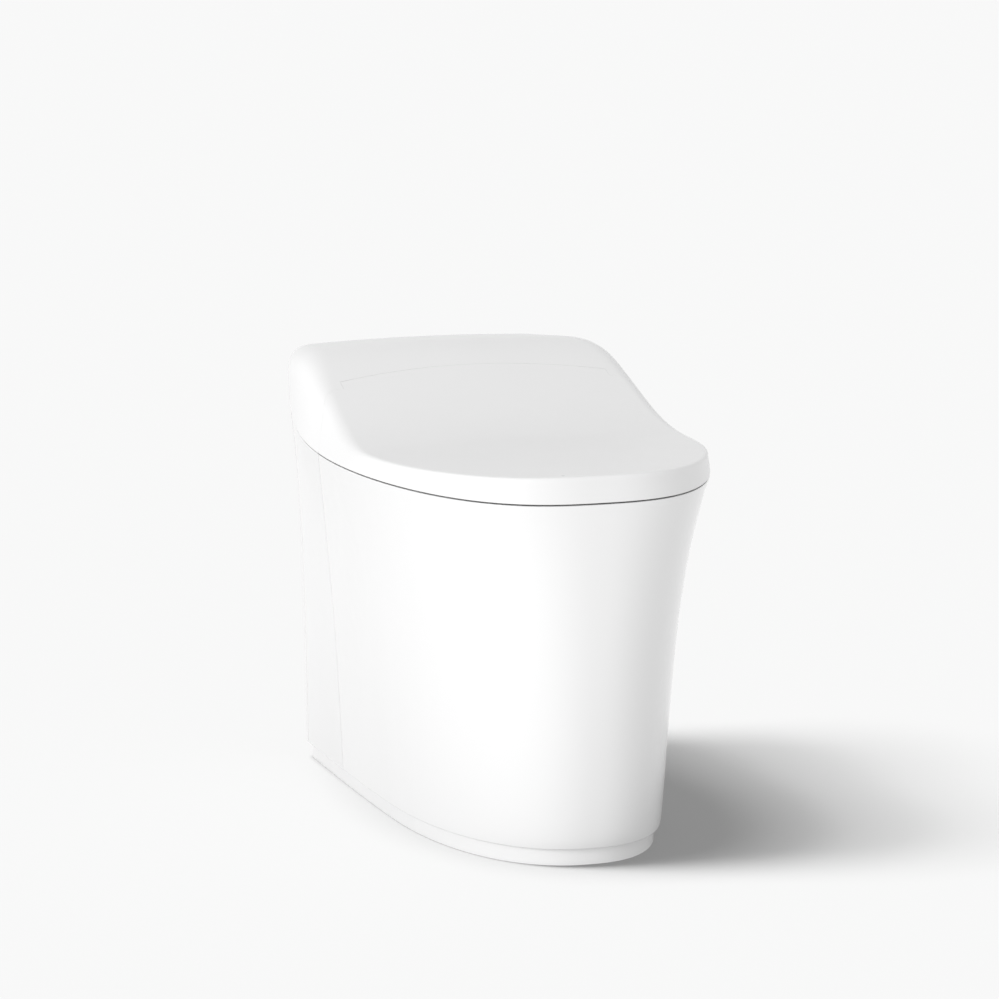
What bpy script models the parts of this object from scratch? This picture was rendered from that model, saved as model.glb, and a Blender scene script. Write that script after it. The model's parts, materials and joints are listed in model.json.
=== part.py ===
"""A one-piece smart toilet: ceramic body, side panels, rear cover, lid, seat and the washing unit inside."""
import math

import bmesh
import bpy
from mathutils import Matrix, Vector

OBJECT_NAME = "one_piece_smart_toilet"

# Overall sizes in metres: the front is towards -Y and the wall towards +Y
LENGTH = 0.680
WIDTH = 0.426
HEIGHT = 0.5215
FRONT_Y = -LENGTH / 2
REAR_Y = LENGTH / 2

# The seam between the ceramic and the plastic above it climbs a little towards the wall
COVER_HEIGHT = 0.0915
SEAM_RISE = 0.018
SEAM_REAR_HEIGHT = HEIGHT - COVER_HEIGHT
SEAM_FRONT_HEIGHT = SEAM_REAR_HEIGHT - SEAM_RISE
RIM_DROP = 0.0008
LID_LIFT = 0.0010
COVER_LIFT = 0.00075
PANEL_DROP = 0.00075

# Plan of the body: widest a little behind the middle, narrower at the wall and at the floor
WIDEST_FROM_REAR = 0.344
WIDEST_Y = REAR_Y - WIDEST_FROM_REAR
REAR_NARROWING = 0.056
FOOT_NARROWING = 0.008
REAR_CORNER = 0.0175
SIDE_POWER = 2.70
NOSE_POWER = 1.86
FOOT_SIDE_POWER = 2.29
FOOT_NOSE_POWER = 2.30
FOOT_DRAW_IN = 0.0665
FOOT_HALF_WIDTH = WIDTH / 2 - FOOT_DRAW_IN
FOOT_FRONT_SETBACK = 0.028
SIDE_FLARE_SHARE = 0.606
SIDE_FLARE_POWER = 4
FRONT_RAKE_POWER = 0.45

# The plinth steps in under the body
PLINTH_HEIGHT = 0.020
PLINTH_INSET = 0.007

# Ceramic walls
WALL = 0.012
DECK_THICKNESS = 0.048
BOWL_WALL = 0.010
BOWL_FRONT_BORDER = 0.051
BOWL_SIDE_BORDER = 0.091
BOWL_REAR_TO_WALL = 0.341
BOWL_FRONT_Y = FRONT_Y + BOWL_FRONT_BORDER
BOWL_REAR_Y = REAR_Y - BOWL_REAR_TO_WALL
BOWL_CENTRE_Y = (BOWL_FRONT_Y + BOWL_REAR_Y) / 2
BOWL_HALF_LENGTH = (BOWL_REAR_Y - BOWL_FRONT_Y) / 2
BOWL_HALF_WIDTH = WIDTH / 2 - BOWL_SIDE_BORDER
BOWL_DEPTH = 0.205
SUMP_TO_WALL = 0.425
SUMP_CENTRE_Y = REAR_Y - SUMP_TO_WALL
SUMP_HALF_LENGTH = 0.046
SUMP_HALF_WIDTH = 0.040
TRAP_BORE = 0.055
TRAP_DIP = 0.036
TRAP_WEIR_RISE = 0.020
TRAP_WEIR_TO_WALL = 0.285
TRAP_WEIR_Y = REAR_Y - TRAP_WEIR_TO_WALL
TRAP_START_LIFT_SHARE = 0.6
TRAP_DIP_SHARE = 0.42
TRAP_FALL_SHARES = (0.85, 0.90)
TRAP_BEND_SHARES = (0.62, 0.42)
TRAP_END_SHARE = 3
OUTLET_TO_WALL = 0.305
OUTLET_Y = REAR_Y - OUTLET_TO_WALL
SEAL_HEIGHT = 0.012
SEAL_WIDTH = 0.020

# Side panels close the service openings behind a curved joint line
PANEL_THICKNESS = 0.003
PANEL_LENGTH = 0.183
PANEL_JOINT_Y = REAR_Y - PANEL_LENGTH
PANEL_JOINT_SWEEP = 0.131
PANEL_JOINT_START_SHARE = 0.475
PANEL_JOINT_POWER = 3
PANEL_REAR_LIP = 0.005
WINDOW_BORDER = 0.018

# Top surface: a flat front, an S curve and a high rear
LID_HEIGHT = 0.031
LID_TOP = SEAM_FRONT_HEIGHT + LID_HEIGHT
S_CURVE_START_TO_WALL = 0.4575
S_CURVE_START_Y = REAR_Y - S_CURVE_START_TO_WALL
S_CURVE_LENGTH = 0.176
CREST_START_TO_WALL = 0.221
CREST_START_Y = REAR_Y - CREST_START_TO_WALL
CREST_LENGTH = 0.1075
CREST_SHARE = 0.71
CREST_Y = CREST_START_Y + CREST_LENGTH * CREST_SHARE
FRONT_CROWN = 0.003
REAR_CROWN = 0.0065
CROWN_GROWTH_LENGTH = 0.300
CROWN_BORDER = 0.023
CROWN_HALF_WIDTH = WIDTH / 2 - CROWN_BORDER
BAND_LEAN = 0.003
SHOULDER_LEAN = 0.0175
SHOULDER_TO_WALL = 0.316
SHOULDER_Y = REAR_Y - SHOULDER_TO_WALL
SHOULDER_REACH = 0.230
REAR_FLARE = 0.0079
CREASE_RADIUS = 0.0045
SHOULDER_RADIUS = 0.012
REAR_RADIUS = 0.034
REAR_RADIUS_GROWTH = 0.200
SKIN = 0.003

# The split between lid and cover: nearly straight, one short step, then forward down the sides
SPLIT_TO_WALL = 0.2215
SPLIT_STEP = 0.0305
SPLIT_CURVE = 0.0070
SPLIT_SWEEP = 0.055
SPLIT_Y = REAR_Y - SPLIT_TO_WALL
SPLIT_STEP_FRONT_Y = SPLIT_Y - SPLIT_STEP
SPLIT_SIDE_Y = SPLIT_STEP_FRONT_Y - SPLIT_CURVE
SPLIT_SEAM_Y = SPLIT_SIDE_Y - SPLIT_SWEEP
SPLIT_BOW = 0.0165
SPLIT_STEP_BORDER = 0.050
SPLIT_SIDE_BORDER = 0.026
SPLIT_STEP_X = WIDTH / 2 - SPLIT_STEP_BORDER
SPLIT_SIDE_X = WIDTH / 2 - SPLIT_SIDE_BORDER
SPLIT_GAP = 0.0010

# Hinge: one steel shaft carries the lid and the seat
HINGE_TO_WALL = 0.2418
HINGE_Y = REAR_Y - HINGE_TO_WALL
HINGE_DEPTH = 0.0105
SHAFT_RADIUS = 0.0025
RUNNING_GAP = 0.0003
SEAT_KNUCKLE_RADIUS = 0.0055
LID_KNUCKLE_RADIUS = 0.0065
SEAT_KNUCKLE_SHARES = (0.123, 0.307)
LID_KNUCKLE_SHARES = (0.337, 0.540)
SHAFT_RIB_SHARES = (0.567, 0.592)
SEAT_KNUCKLE_INNER_X = SPLIT_STEP_X * SEAT_KNUCKLE_SHARES[0]
SEAT_KNUCKLE_OUTER_X = SPLIT_STEP_X * SEAT_KNUCKLE_SHARES[1]
LID_KNUCKLE_INNER_X = SPLIT_STEP_X * LID_KNUCKLE_SHARES[0]
LID_KNUCKLE_OUTER_X = SPLIT_STEP_X * LID_KNUCKLE_SHARES[1]
SHAFT_RIB_INNER_X = SPLIT_STEP_X * SHAFT_RIB_SHARES[0]
SHAFT_RIB_OUTER_X = SPLIT_STEP_X * SHAFT_RIB_SHARES[1]
KNUCKLE_SHOULDER = 0.0006
KNUCKLE_WEB_SHARE = 0.7
KNUCKLE_SINK_SHARE = 0.33
SHAFT_RIB_RADIUS = 0.0045
CAP_RADIUS = 0.0040
CAP_LENGTH = 0.004
BARREL_CLEARANCE = 0.0006

# Seat ring
SEAT_INSET = 0.019
SEAT_LIFT = 0.0005
SEAT_THICKNESS = 0.0125
SEAT_REAR_TO_WALL = 0.295
SEAT_REAR_Y = REAR_Y - SEAT_REAR_TO_WALL
SEAT_HOLE_FRONT_BORDER = 0.062
SEAT_HOLE_SIDE_BORDER = 0.107
SEAT_HOLE_REAR_BORDER = 0.067
SEAT_HOLE_FRONT_Y = FRONT_Y + SEAT_HOLE_FRONT_BORDER
SEAT_HOLE_REAR_Y = SEAT_REAR_Y - SEAT_HOLE_REAR_BORDER
SEAT_HOLE_CENTRE_Y = (SEAT_HOLE_FRONT_Y + SEAT_HOLE_REAR_Y) / 2
SEAT_HOLE_HALF_LENGTH = (SEAT_HOLE_REAR_Y - SEAT_HOLE_FRONT_Y) / 2
SEAT_HOLE_HALF_WIDTH = WIDTH / 2 - SEAT_HOLE_SIDE_BORDER
SEAT_ARM_THICKNESS = 0.008
SEAT_ARM_OVERLAP = 0.011
SEAT_ARM_FOOT_Y = SEAT_REAR_Y - SEAT_ARM_OVERLAP
SEAT_BUMPER_RADIUS = 0.007
SEAT_BUMPER_SIDE_BORDER = 0.071
SEAT_BUMPER_X = WIDTH / 2 - SEAT_BUMPER_SIDE_BORDER
SEAT_BUMPER_FRONT_BORDER = 0.125
SEAT_BUMPER_FRONT_Y = FRONT_Y + SEAT_BUMPER_FRONT_BORDER
SEAT_BUMPER_REAR_BORDER = 0.055
SEAT_BUMPER_REAR_Y = SEAT_REAR_Y - SEAT_BUMPER_REAR_BORDER
LID_BUMPER_RADIUS = 0.006
LID_BUMPER_SIDE_BORDER = 0.083
LID_BUMPER_X = WIDTH / 2 - LID_BUMPER_SIDE_BORDER
LID_BUMPER_FRONT_BORDER = 0.140
LID_BUMPER_Y = FRONT_Y + LID_BUMPER_FRONT_BORDER

# Washing unit chassis on the deck behind the seat
CHASSIS_SIDE_BORDER = 0.081
CHASSIS_HALF_WIDTH = WIDTH / 2 - CHASSIS_SIDE_BORDER
CHASSIS_FLOOR = 0.003
CHASSIS_WALL = 0.0025
CHASSIS_LENGTH = 0.249
CHASSIS_TO_WALL = 0.025
CHASSIS_REAR_Y = REAR_Y - CHASSIS_TO_WALL
CHASSIS_FRONT_Y = CHASSIS_REAR_Y - CHASSIS_LENGTH
TROUGH_RADIUS = 0.0312
TROUGH_FRONT_ANGLE = math.radians(200)
TROUGH_REAR_ANGLE = math.radians(72)
RIB_REAR_ANGLE = math.radians(168)
RIB_TOP_ANGLES = (math.radians(260), math.radians(150))
SEAT_GAP = 0.0003

# Washing wand
WAND_SLOPE = math.radians(20)
WAND_RADIUS = 0.0080
WAND_GAP = 0.0008
WAND_LENGTH = 0.160
WAND_TIP_LENGTH = 0.020
WAND_TIP_SHARE = 0.8
WAND_MOUTH_Y = CHASSIS_FRONT_Y
WAND_MOUTH_DROP = 0.0043
WAND_SETBACK = 0.004
NOTCH_HALF_WIDTH = 0.014
NOTCH_DEPTH = 0.037
NOTCH_LENGTH = 0.038
NOTCH_REAR_Y = WAND_MOUTH_Y + NOTCH_LENGTH
HOUSING_HALF_WIDTH = 0.0135
HOUSING_SETBACK = 0.047
HOUSING_FRONT_Y = WAND_MOUTH_Y + HOUSING_SETBACK
HOUSING_LENGTH = 0.120
HOUSING_WALL = 0.0045

# Boxes on the chassis floor
BOX_INNER_X = 0.035
BOX_BORDER = 0.009
BOX_OUTER_X = CHASSIS_HALF_WIDTH - BOX_BORDER
BOX_WIDTH = BOX_OUTER_X - BOX_INNER_X
BOX_X = (BOX_INNER_X + BOX_OUTER_X) / 2
HEATER_LENGTH = 0.105
HEATER_HEIGHT = 0.043
HEATER_TO_WALL = 0.115
HEATER_SIZE = (BOX_WIDTH, HEATER_LENGTH, HEATER_HEIGHT)
HEATER_CENTRE = (-BOX_X, REAR_Y - HEATER_TO_WALL)
CONTROL_LENGTH = 0.075
CONTROL_HEIGHT = 0.038
CONTROL_TO_WALL = 0.082
CONTROL_SIZE = (BOX_WIDTH, CONTROL_LENGTH, CONTROL_HEIGHT)
CONTROL_CENTRE = (BOX_X, REAR_Y - CONTROL_TO_WALL)
BOX_ROUNDING = 0.006
FAN_ROOM = CHASSIS_HALF_WIDTH - HOUSING_HALF_WIDTH
FAN_ROOM_SHARE = 0.574
FAN_HOUSING_WIDTH = FAN_ROOM * FAN_ROOM_SHARE
FAN_HOUSING_LENGTH = 0.056
FAN_HOUSING_HEIGHT = 0.030
FAN_HOUSING_SIZE = (FAN_HOUSING_WIDTH, FAN_HOUSING_LENGTH, FAN_HOUSING_HEIGHT)
FAN_TO_WALL = 0.157
FAN_PLACE_SHARE = 0.477
FAN_CENTRE = (HOUSING_HALF_WIDTH + FAN_ROOM * FAN_PLACE_SHARE, REAR_Y - FAN_TO_WALL)
FAN_SHARES = (0.345, 0.301)
FAN_CHAMBER_RADIUS = FAN_HOUSING_WIDTH * FAN_SHARES[0]
FAN_RADIUS = FAN_HOUSING_WIDTH * FAN_SHARES[1]
FAN_HEIGHT = 0.020
FAN_FLOOR = 0.004
FAN_BLADES = 9
FAN_HUB_RADIUS = 0.007
FAN_BLADE_THICKNESS = 0.0014
FAN_PIN_RADIUS = 0.0018
FILTER_SIZE = (0.048, 0.044, 0.020)
FILTER_REACH = 0.0755
FILTER_INNER_X = WIDTH / 2 - FILTER_REACH
FILTER_LIFT = 0.0095
FILTER_GAP = 0.0006
FILTER_GUIDE = 0.003

# Push buttons on the cover's right side
BUTTON_RADIUS = 0.0065
BUTTON_GAP = 0.0004
BUTTON_PROUD = 0.0016
BUTTON_TRAVEL = 0.0012
BUTTON_LENGTH = 0.010
BUTTON_FLANGE_RADIUS = 0.0080
BUTTON_FLANGE = 0.0015
BUTTON_HEIGHT_SHARE = 0.42
BUTTON_TO_WALL = 0.118
BUTTON_FRONT_Y = REAR_Y - BUTTON_TO_WALL
BUTTON_SPACING = 0.030

# Pieces in the hollow behind the side panels
RESERVOIR_BORDER = 0.115
RESERVOIR_HALF_WIDTH = WIDTH / 2 - RESERVOIR_BORDER
RESERVOIR_DEPTH = 0.088
RESERVOIR_DROP = 0.0005
RESERVOIR_OVER_VALVE = 0.0233
PUMP_RADIUS = 0.030
PUMP_LENGTH = 0.070
PUMP_X = 0.045
VALVE_SIZE = (0.040, 0.036, 0.050)
VALVE_X = -0.060
FITTING_HEIGHT_SHARE = 0.30
FITTING_RADIUS = 0.0105
FITTING_HEX_RADIUS = 0.0150
FITTING_HEX_LENGTH = 0.006
FITTING_BORE = 0.0070
FITTING_GAP = 0.0004
GLAND_RADIUS = 0.0075
GLAND_FLANGE_RADIUS = 0.0110
GLAND_FLANGE = 0.003
GLAND_BORE = 0.0030
GLAND_LENGTH = 0.014
GLAND_X = 0.085
GLAND_RISE = 0.026
BRACKET_SIZE = (0.036, 0.040, 0.034)
BRACKET_TO_WALL = 0.115
BRACKET_Y = REAR_Y - BRACKET_TO_WALL
BRACKET_THICKNESS = 0.004
SCREW_HEAD_RADIUS = 0.0060
SCREW_HEAD = 0.004
SCREW_RADIUS = 0.0035
SCREW_GAP = 0.0004
CHASSIS_SCREW_BORDER = 0.024
CHASSIS_SCREW_X = CHASSIS_HALF_WIDTH - CHASSIS_SCREW_BORDER
CHASSIS_SCREW_TO_EDGE = 0.0085
CHASSIS_SCREW_Y = CHASSIS_REAR_Y - CHASSIS_SCREW_TO_EDGE
CHASSIS_SCREW_DEPTH = 0.016

# Detail of the round shapes
BACK_STEPS = 3
CORNER_STEPS = 3
SIDE_STEPS = 6
NOSE_STEPS = 11
ROUND_SIDES = 24
BOWL_SIDES = 36
SMALL_SIDES = 16
PANEL_COLUMNS = 8
SKIRT_CLIMB_SHARES = (0.0, 0.03, 0.08, 0.17, 0.30, 0.44, 0.58, 0.70, 0.80, 0.88, 0.94, 1.0)
HOLLOW_CLIMB_SHARES = (0.0, 0.3, 0.6, 0.85, 1.0)
EDGE_ROUNDING_SHARES = (0.0, 0.3, 0.62, 1.0)
EDGE_LIMIT_SHARE = 0.7
SPLIT_STEPS = 6
SPLIT_SIDE_SHARES = (0.4, 0.75, 1.0)
SHARP_ANGLE = math.radians(35)
BEVEL_ANGLE = math.radians(50)
TOP_RING_SHARES = (0.93, 0.82, 0.68, 0.52, 0.34, 0.16)
LEAST_CORNER = 0.002
MERGE_DISTANCE = 0.00002
OVERRUN = 0.010

WHITE_CERAMIC = (0.86, 0.86, 0.85)
WHITE_PLASTIC = (0.84, 0.84, 0.83)
GREY_PLASTIC = (0.45, 0.46, 0.47)
DARK_PLASTIC = (0.06, 0.06, 0.065)
STEEL = (0.60, 0.60, 0.61)
RUBBER = (0.10, 0.10, 0.10)
BRASS = (0.58, 0.43, 0.20)


def clear_scene():
    for obj in list(bpy.data.objects):
        bpy.data.objects.remove(obj, do_unlink=True)


def make_collections():
    parts = bpy.data.collections.new(OBJECT_NAME)
    cutters = bpy.data.collections.new("cutters")
    for collection in (parts, cutters):
        bpy.context.scene.collection.children.link(collection)
    return parts, cutters


clear_scene()
PARTS, CUTTERS = make_collections()
BUTTON_FRAMES = []


def material(name, colour, roughness, metallic=0.0):
    mat = bpy.data.materials.new(name)
    mat.use_nodes = True
    shader = mat.node_tree.nodes["Principled BSDF"]
    shader.inputs["Base Color"].default_value = (*colour, 1.0)
    shader.inputs["Roughness"].default_value = roughness
    shader.inputs["Metallic"].default_value = metallic
    mat.diffuse_color = (*colour, 1.0)
    return mat


def smoothstep(value):
    value = min(max(value, 0.0), 1.0)
    return value * value * (3 - 2 * value)


def mix(low, high, share):
    return low + (high - low) * share


def seam_height(y):
    return mix(SEAM_FRONT_HEIGHT, SEAM_REAR_HEIGHT, (y - FRONT_Y) / LENGTH)


def plan(half_width, front_y, side_power, nose_power, narrowing, inset):
    """Closed outline from the back's middle, down the +X side, round the nose and back, drawn in by an inset."""
    rear_half = half_width - narrowing
    side = []
    for step in range(SIDE_STEPS):
        share = step / SIDE_STEPS
        x = rear_half + narrowing * math.sin(share * math.pi / 2)
        side.append((x, mix(REAR_Y - REAR_CORNER, WIDEST_Y, share)))
    for step in range(NOSE_STEPS + 1):
        turn = math.pi / 2 * step / NOSE_STEPS
        x = half_width * max(math.cos(turn), 0.0) ** (2 / side_power)
        y = WIDEST_Y - (WIDEST_Y - front_y) * math.sin(turn) ** (2 / nose_power)
        side.append((x, y))
    side[-1] = (0.0, front_y)
    side = [moved_in(side, index, inset) for index in range(len(side))]
    back_y = REAR_Y - inset(REAR_Y)
    radius = max(REAR_CORNER - inset(REAR_Y), LEAST_CORNER)
    corner_x = side[0][0] - radius
    half = [(corner_x * step / BACK_STEPS, back_y) for step in range(BACK_STEPS)]
    for step in range(CORNER_STEPS + 1):
        turn = math.pi / 2 * step / CORNER_STEPS
        half.append((corner_x + radius * math.sin(turn), back_y - radius + radius * math.cos(turn)))
    half += side[1:]
    return half + [(-x, y) for x, y in reversed(half[1:-1])]


def moved_in(side, index, inset):
    """A point of the side moved towards the inside, square to its neighbours."""
    x, y = side[index]
    if index == len(side) - 1:
        return (0.0, y + inset(y))
    before = Vector(side[max(index - 1, 0)])
    after = Vector(side[index + 1])
    tangent = (after - before).normalized()
    return (x + tangent.y * inset(y), y - tangent.x * inset(y))


def body_plan(height, inset=0.0):
    """Outline of the body at a height measured at its middle; the inset is a length or a function of y."""
    climb = min(max((height - PLINTH_HEIGHT) / (seam_height(0) - PLINTH_HEIGHT), 0.0), 1.0)
    flare = (1 - SIDE_FLARE_SHARE) * climb + SIDE_FLARE_SHARE * climb ** SIDE_FLARE_POWER
    return plan(
        mix(FOOT_HALF_WIDTH, WIDTH / 2, flare),
        FRONT_Y + FOOT_FRONT_SETBACK * (1 - climb ** FRONT_RAKE_POWER),
        mix(FOOT_SIDE_POWER, SIDE_POWER, flare),
        mix(FOOT_NOSE_POWER, NOSE_POWER, flare),
        mix(FOOT_NARROWING, REAR_NARROWING, flare),
        inset if callable(inset) else lambda y: inset,
    )


def seam_plan(inset=0.0):
    return body_plan(seam_height(0), inset)


def tilted(height, y):
    """A level at the floor that tilts more and more towards the seam's own slope."""
    return height + (seam_height(y) - seam_height(0)) * height / seam_height(0)


def new_object(name, mesh, mat=None, collection=None):
    obj = bpy.data.objects.new(name, mesh)
    (collection or PARTS).objects.link(obj)
    if mat:
        mesh.materials.clear()
        mesh.materials.append(mat)
    if collection is CUTTERS:
        obj.hide_render = True
        obj.display_type = "WIRE"
    return obj


def loft(name, loops, mat=None, collection=None, open_bottom=False):
    """Skin a stack of loops of equal length, with a fan over the last one."""
    bm = bmesh.new()
    rows = [[bm.verts.new(point) for point in loop] for loop in loops]
    count = len(rows[0])
    for lower, upper in zip(rows, rows[1:]):
        for index in range(count):
            following = (index + 1) % count
            bm.faces.new((lower[index], lower[following], upper[following], upper[index]))
    bm.faces.new(rows[-1])
    if not open_bottom:
        bm.faces.new(list(reversed(rows[0])))
    bmesh.ops.recalc_face_normals(bm, faces=bm.faces)
    mesh = bpy.data.meshes.new(name)
    bm.to_mesh(mesh)
    bm.free()
    return new_object(name, mesh, mat, collection)


def prism(name, outline, x_low, x_high, mat=None, collection=None):
    """Extrude an outline of (y, z) points along X."""
    curve = bpy.data.curves.new(name, "CURVE")
    curve.dimensions = "2D"
    curve.fill_mode = "BOTH"
    curve.extrude = (x_high - x_low) / 2
    spline = curve.splines.new("POLY")
    spline.points.add(len(outline) - 1)
    for point, (y, z) in zip(spline.points, outline):
        point.co = (y, z, 0, 1)
    spline.use_cyclic_u = True
    turn = Matrix(((0, 0, 1, (x_low + x_high) / 2), (1, 0, 0, 0), (0, 1, 0, 0), (0, 0, 0, 1)))
    return curve_solid(name, curve, turn, mat, collection)


def flat_plate(name, outline, z_low, z_high, mat=None, collection=None):
    """Extrude an outline of (x, y) points along Z."""
    curve = bpy.data.curves.new(name, "CURVE")
    curve.dimensions = "2D"
    curve.fill_mode = "BOTH"
    curve.extrude = (z_high - z_low) / 2
    spline = curve.splines.new("POLY")
    spline.points.add(len(outline) - 1)
    for point, (x, y) in zip(spline.points, outline):
        point.co = (x, y, 0, 1)
    spline.use_cyclic_u = True
    return curve_solid(name, curve, Matrix.Translation((0, 0, (z_low + z_high) / 2)), mat, collection)


def curve_solid(name, curve, matrix, mat, collection):
    guide = bpy.data.objects.new(name + "_curve", curve)
    CUTTERS.objects.link(guide)
    bpy.context.view_layer.update()
    depsgraph = bpy.context.evaluated_depsgraph_get()
    mesh = bpy.data.meshes.new_from_object(guide.evaluated_get(depsgraph))
    bpy.data.objects.remove(guide, do_unlink=True)
    mesh.transform(matrix)
    bm = bmesh.new()
    bm.from_mesh(mesh)
    bmesh.ops.remove_doubles(bm, verts=bm.verts, dist=MERGE_DISTANCE)
    bmesh.ops.recalc_face_normals(bm, faces=bm.faces)
    bm.to_mesh(mesh)
    bm.free()
    mesh.name = name
    return new_object(name, mesh, mat, collection)


def tube(name, points, radius, mat=None, collection=None, resolution=3):
    curve = bpy.data.curves.new(name, "CURVE")
    curve.dimensions = "3D"
    curve.bevel_depth = radius
    curve.bevel_resolution = resolution
    curve.use_fill_caps = True
    spline = curve.splines.new("POLY")
    spline.points.add(len(points) - 1)
    for point, place in zip(spline.points, points):
        point.co = (*place, 1)
    return curve_solid(name, curve, Matrix.Identity(4), mat, collection)


def box(name, low, high, mat=None, collection=None):
    bm = bmesh.new()
    bmesh.ops.create_cube(bm, size=1)
    size = [b - a for a, b in zip(low, high)]
    centre = [(a + b) / 2 for a, b in zip(low, high)]
    bmesh.ops.scale(bm, vec=size, verts=bm.verts)
    bmesh.ops.translate(bm, vec=centre, verts=bm.verts)
    mesh = bpy.data.meshes.new(name)
    bm.to_mesh(mesh)
    bm.free()
    return new_object(name, mesh, mat, collection)


def fitted_box(name, x_low, x_high, y_low, y_high, bottom, top, mat):
    """A box whose bottom and top heights are functions of y."""
    obj = box(name, (x_low, y_low, -OVERRUN), (x_high, y_high, OVERRUN), mat)
    for vertex in obj.data.vertices:
        level = top if vertex.co.z > 0 else bottom
        vertex.co.z = level(vertex.co.y)
    return obj


def cylinder(name, radius, start, end, mat=None, collection=None, sides=SMALL_SIDES, end_radius=None):
    """A round bar from one point to another."""
    start = Vector(start)
    axis = Vector(end) - start
    bm = bmesh.new()
    bmesh.ops.create_cone(
        bm, cap_ends=True, segments=sides, radius1=radius, radius2=end_radius or radius, depth=axis.length
    )
    turn = Vector((0, 0, 1)).rotation_difference(axis).to_matrix().to_4x4()
    bmesh.ops.transform(bm, matrix=Matrix.Translation(start + axis / 2) @ turn, verts=bm.verts)
    mesh = bpy.data.meshes.new(name)
    bm.to_mesh(mesh)
    bm.free()
    obj = new_object(name, mesh, mat, collection)
    smooth(obj)
    return obj


def smooth(obj):
    obj.data.shade_smooth()
    obj.data.set_sharp_from_angle(angle=SHARP_ANGLE)


def combine(obj, other, operation):
    """Add a Boolean and apply it, so that the next one works on its result."""
    modifier = obj.modifiers.new(operation.lower(), "BOOLEAN")
    modifier.operation = operation
    modifier.solver = "EXACT"
    modifier.object = other
    bpy.context.view_layer.update()
    depsgraph = bpy.context.evaluated_depsgraph_get()
    mesh = bpy.data.meshes.new_from_object(obj.evaluated_get(depsgraph))
    obj.modifiers.remove(modifier)
    materials = list(obj.data.materials)
    mesh.materials.clear()
    for mat in materials:
        mesh.materials.append(mat)
    mesh.name = obj.name
    merge_close(mesh)
    obj.data = mesh
    bpy.data.objects.remove(other, do_unlink=True)


def merge_close(mesh):
    bm = bmesh.new()
    bm.from_mesh(mesh)
    bmesh.ops.remove_doubles(bm, verts=bm.verts, dist=MERGE_DISTANCE)
    bmesh.ops.dissolve_degenerate(bm, edges=bm.edges, dist=MERGE_DISTANCE)
    bm.to_mesh(mesh)
    bm.free()


def rounded(obj, radius, segments=2):
    bevel = obj.modifiers.new("rounding", "BEVEL")
    bevel.width = radius
    bevel.segments = segments
    bevel.limit_method = "ANGLE"
    bevel.angle_limit = BEVEL_ANGLE
    bevel.harden_normals = False
    return obj


def set_origin(obj, place):
    """Put the origin on a joint axis without moving the shape."""
    obj.data.transform(Matrix.Translation(-Vector(place)))
    obj.location = place


def ellipse(centre_y, half_width, half_length, count):
    return [
        (half_width * math.sin(2 * math.pi * i / count), centre_y + half_length * math.cos(2 * math.pi * i / count))
        for i in range(count)
    ]


def level_loop(outline, height):
    return [(x, y, tilted(height, y)) for x, y in outline]


# Ceramic body

def skirt_heights():
    top = seam_height(0) - RIM_DROP
    return [mix(PLINTH_HEIGHT, top, share) for share in SKIRT_CLIMB_SHARES]


def skirt_solid(name, mat=None, collection=None):
    foot = body_plan(0.0, PLINTH_INSET)
    loops = [level_loop(foot, 0.0), level_loop(foot, PLINTH_HEIGHT)]
    loops += [level_loop(body_plan(height), height) for height in skirt_heights()]
    return loft(name, loops, mat, collection)


def skirt_hollow(name):
    """The inside of the skirt, open to the floor."""
    low_wall = WALL + PLINTH_INSET
    top = seam_height(0) - RIM_DROP - DECK_THICKNESS
    loops = [level_loop(body_plan(0.0, low_wall), -OVERRUN), level_loop(body_plan(0.0, low_wall), PLINTH_HEIGHT)]
    for share in HOLLOW_CLIMB_SHARES:
        height = mix(PLINTH_HEIGHT + WALL, top, share)
        loops.append(level_loop(body_plan(height, WALL), height))
    return loft(name, loops, collection=CUTTERS)


def bowl_loops(wall):
    """Stacked ellipses from the sump up through the rim."""
    top = seam_height(0) - RIM_DROP
    depth_shares = (1.0, 0.88, 0.66, 0.40, 0.16)
    width_shares = (0.0, 0.30, 0.62, 0.86, 0.98)
    loops = []
    for depth_share, width_share in zip(depth_shares, width_shares):
        half_width = mix(SUMP_HALF_WIDTH, BOWL_HALF_WIDTH, width_share) + wall
        half_length = mix(SUMP_HALF_LENGTH, BOWL_HALF_LENGTH, width_share) + wall
        centre = mix(SUMP_CENTRE_Y, BOWL_CENTRE_Y, width_share)
        height = top - BOWL_DEPTH * depth_share - (wall if depth_share == 1.0 else 0.0)
        loops.append([(x, y, height) for x, y in ellipse(centre, half_width, half_length, BOWL_SIDES)])
    return loops


def bowl_void(name):
    top = seam_height(0)
    loops = bowl_loops(0.0)
    rim = ellipse(BOWL_CENTRE_Y, BOWL_HALF_WIDTH, BOWL_HALF_LENGTH, BOWL_SIDES)
    loops.append([(x, y, top + OVERRUN) for x, y in rim])
    return loft(name, loops, collection=CUTTERS)


def bowl_shell(name):
    loops = bowl_loops(BOWL_WALL)
    top = seam_height(FRONT_Y) - RIM_DROP - DECK_THICKNESS / 2
    rim = ellipse(BOWL_CENTRE_Y, BOWL_HALF_WIDTH + BOWL_WALL, BOWL_HALF_LENGTH + BOWL_WALL, BOWL_SIDES)
    loops[-1] = [(x, y, top) for x, y in rim]
    return loft(name, loops, collection=CUTTERS)


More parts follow.
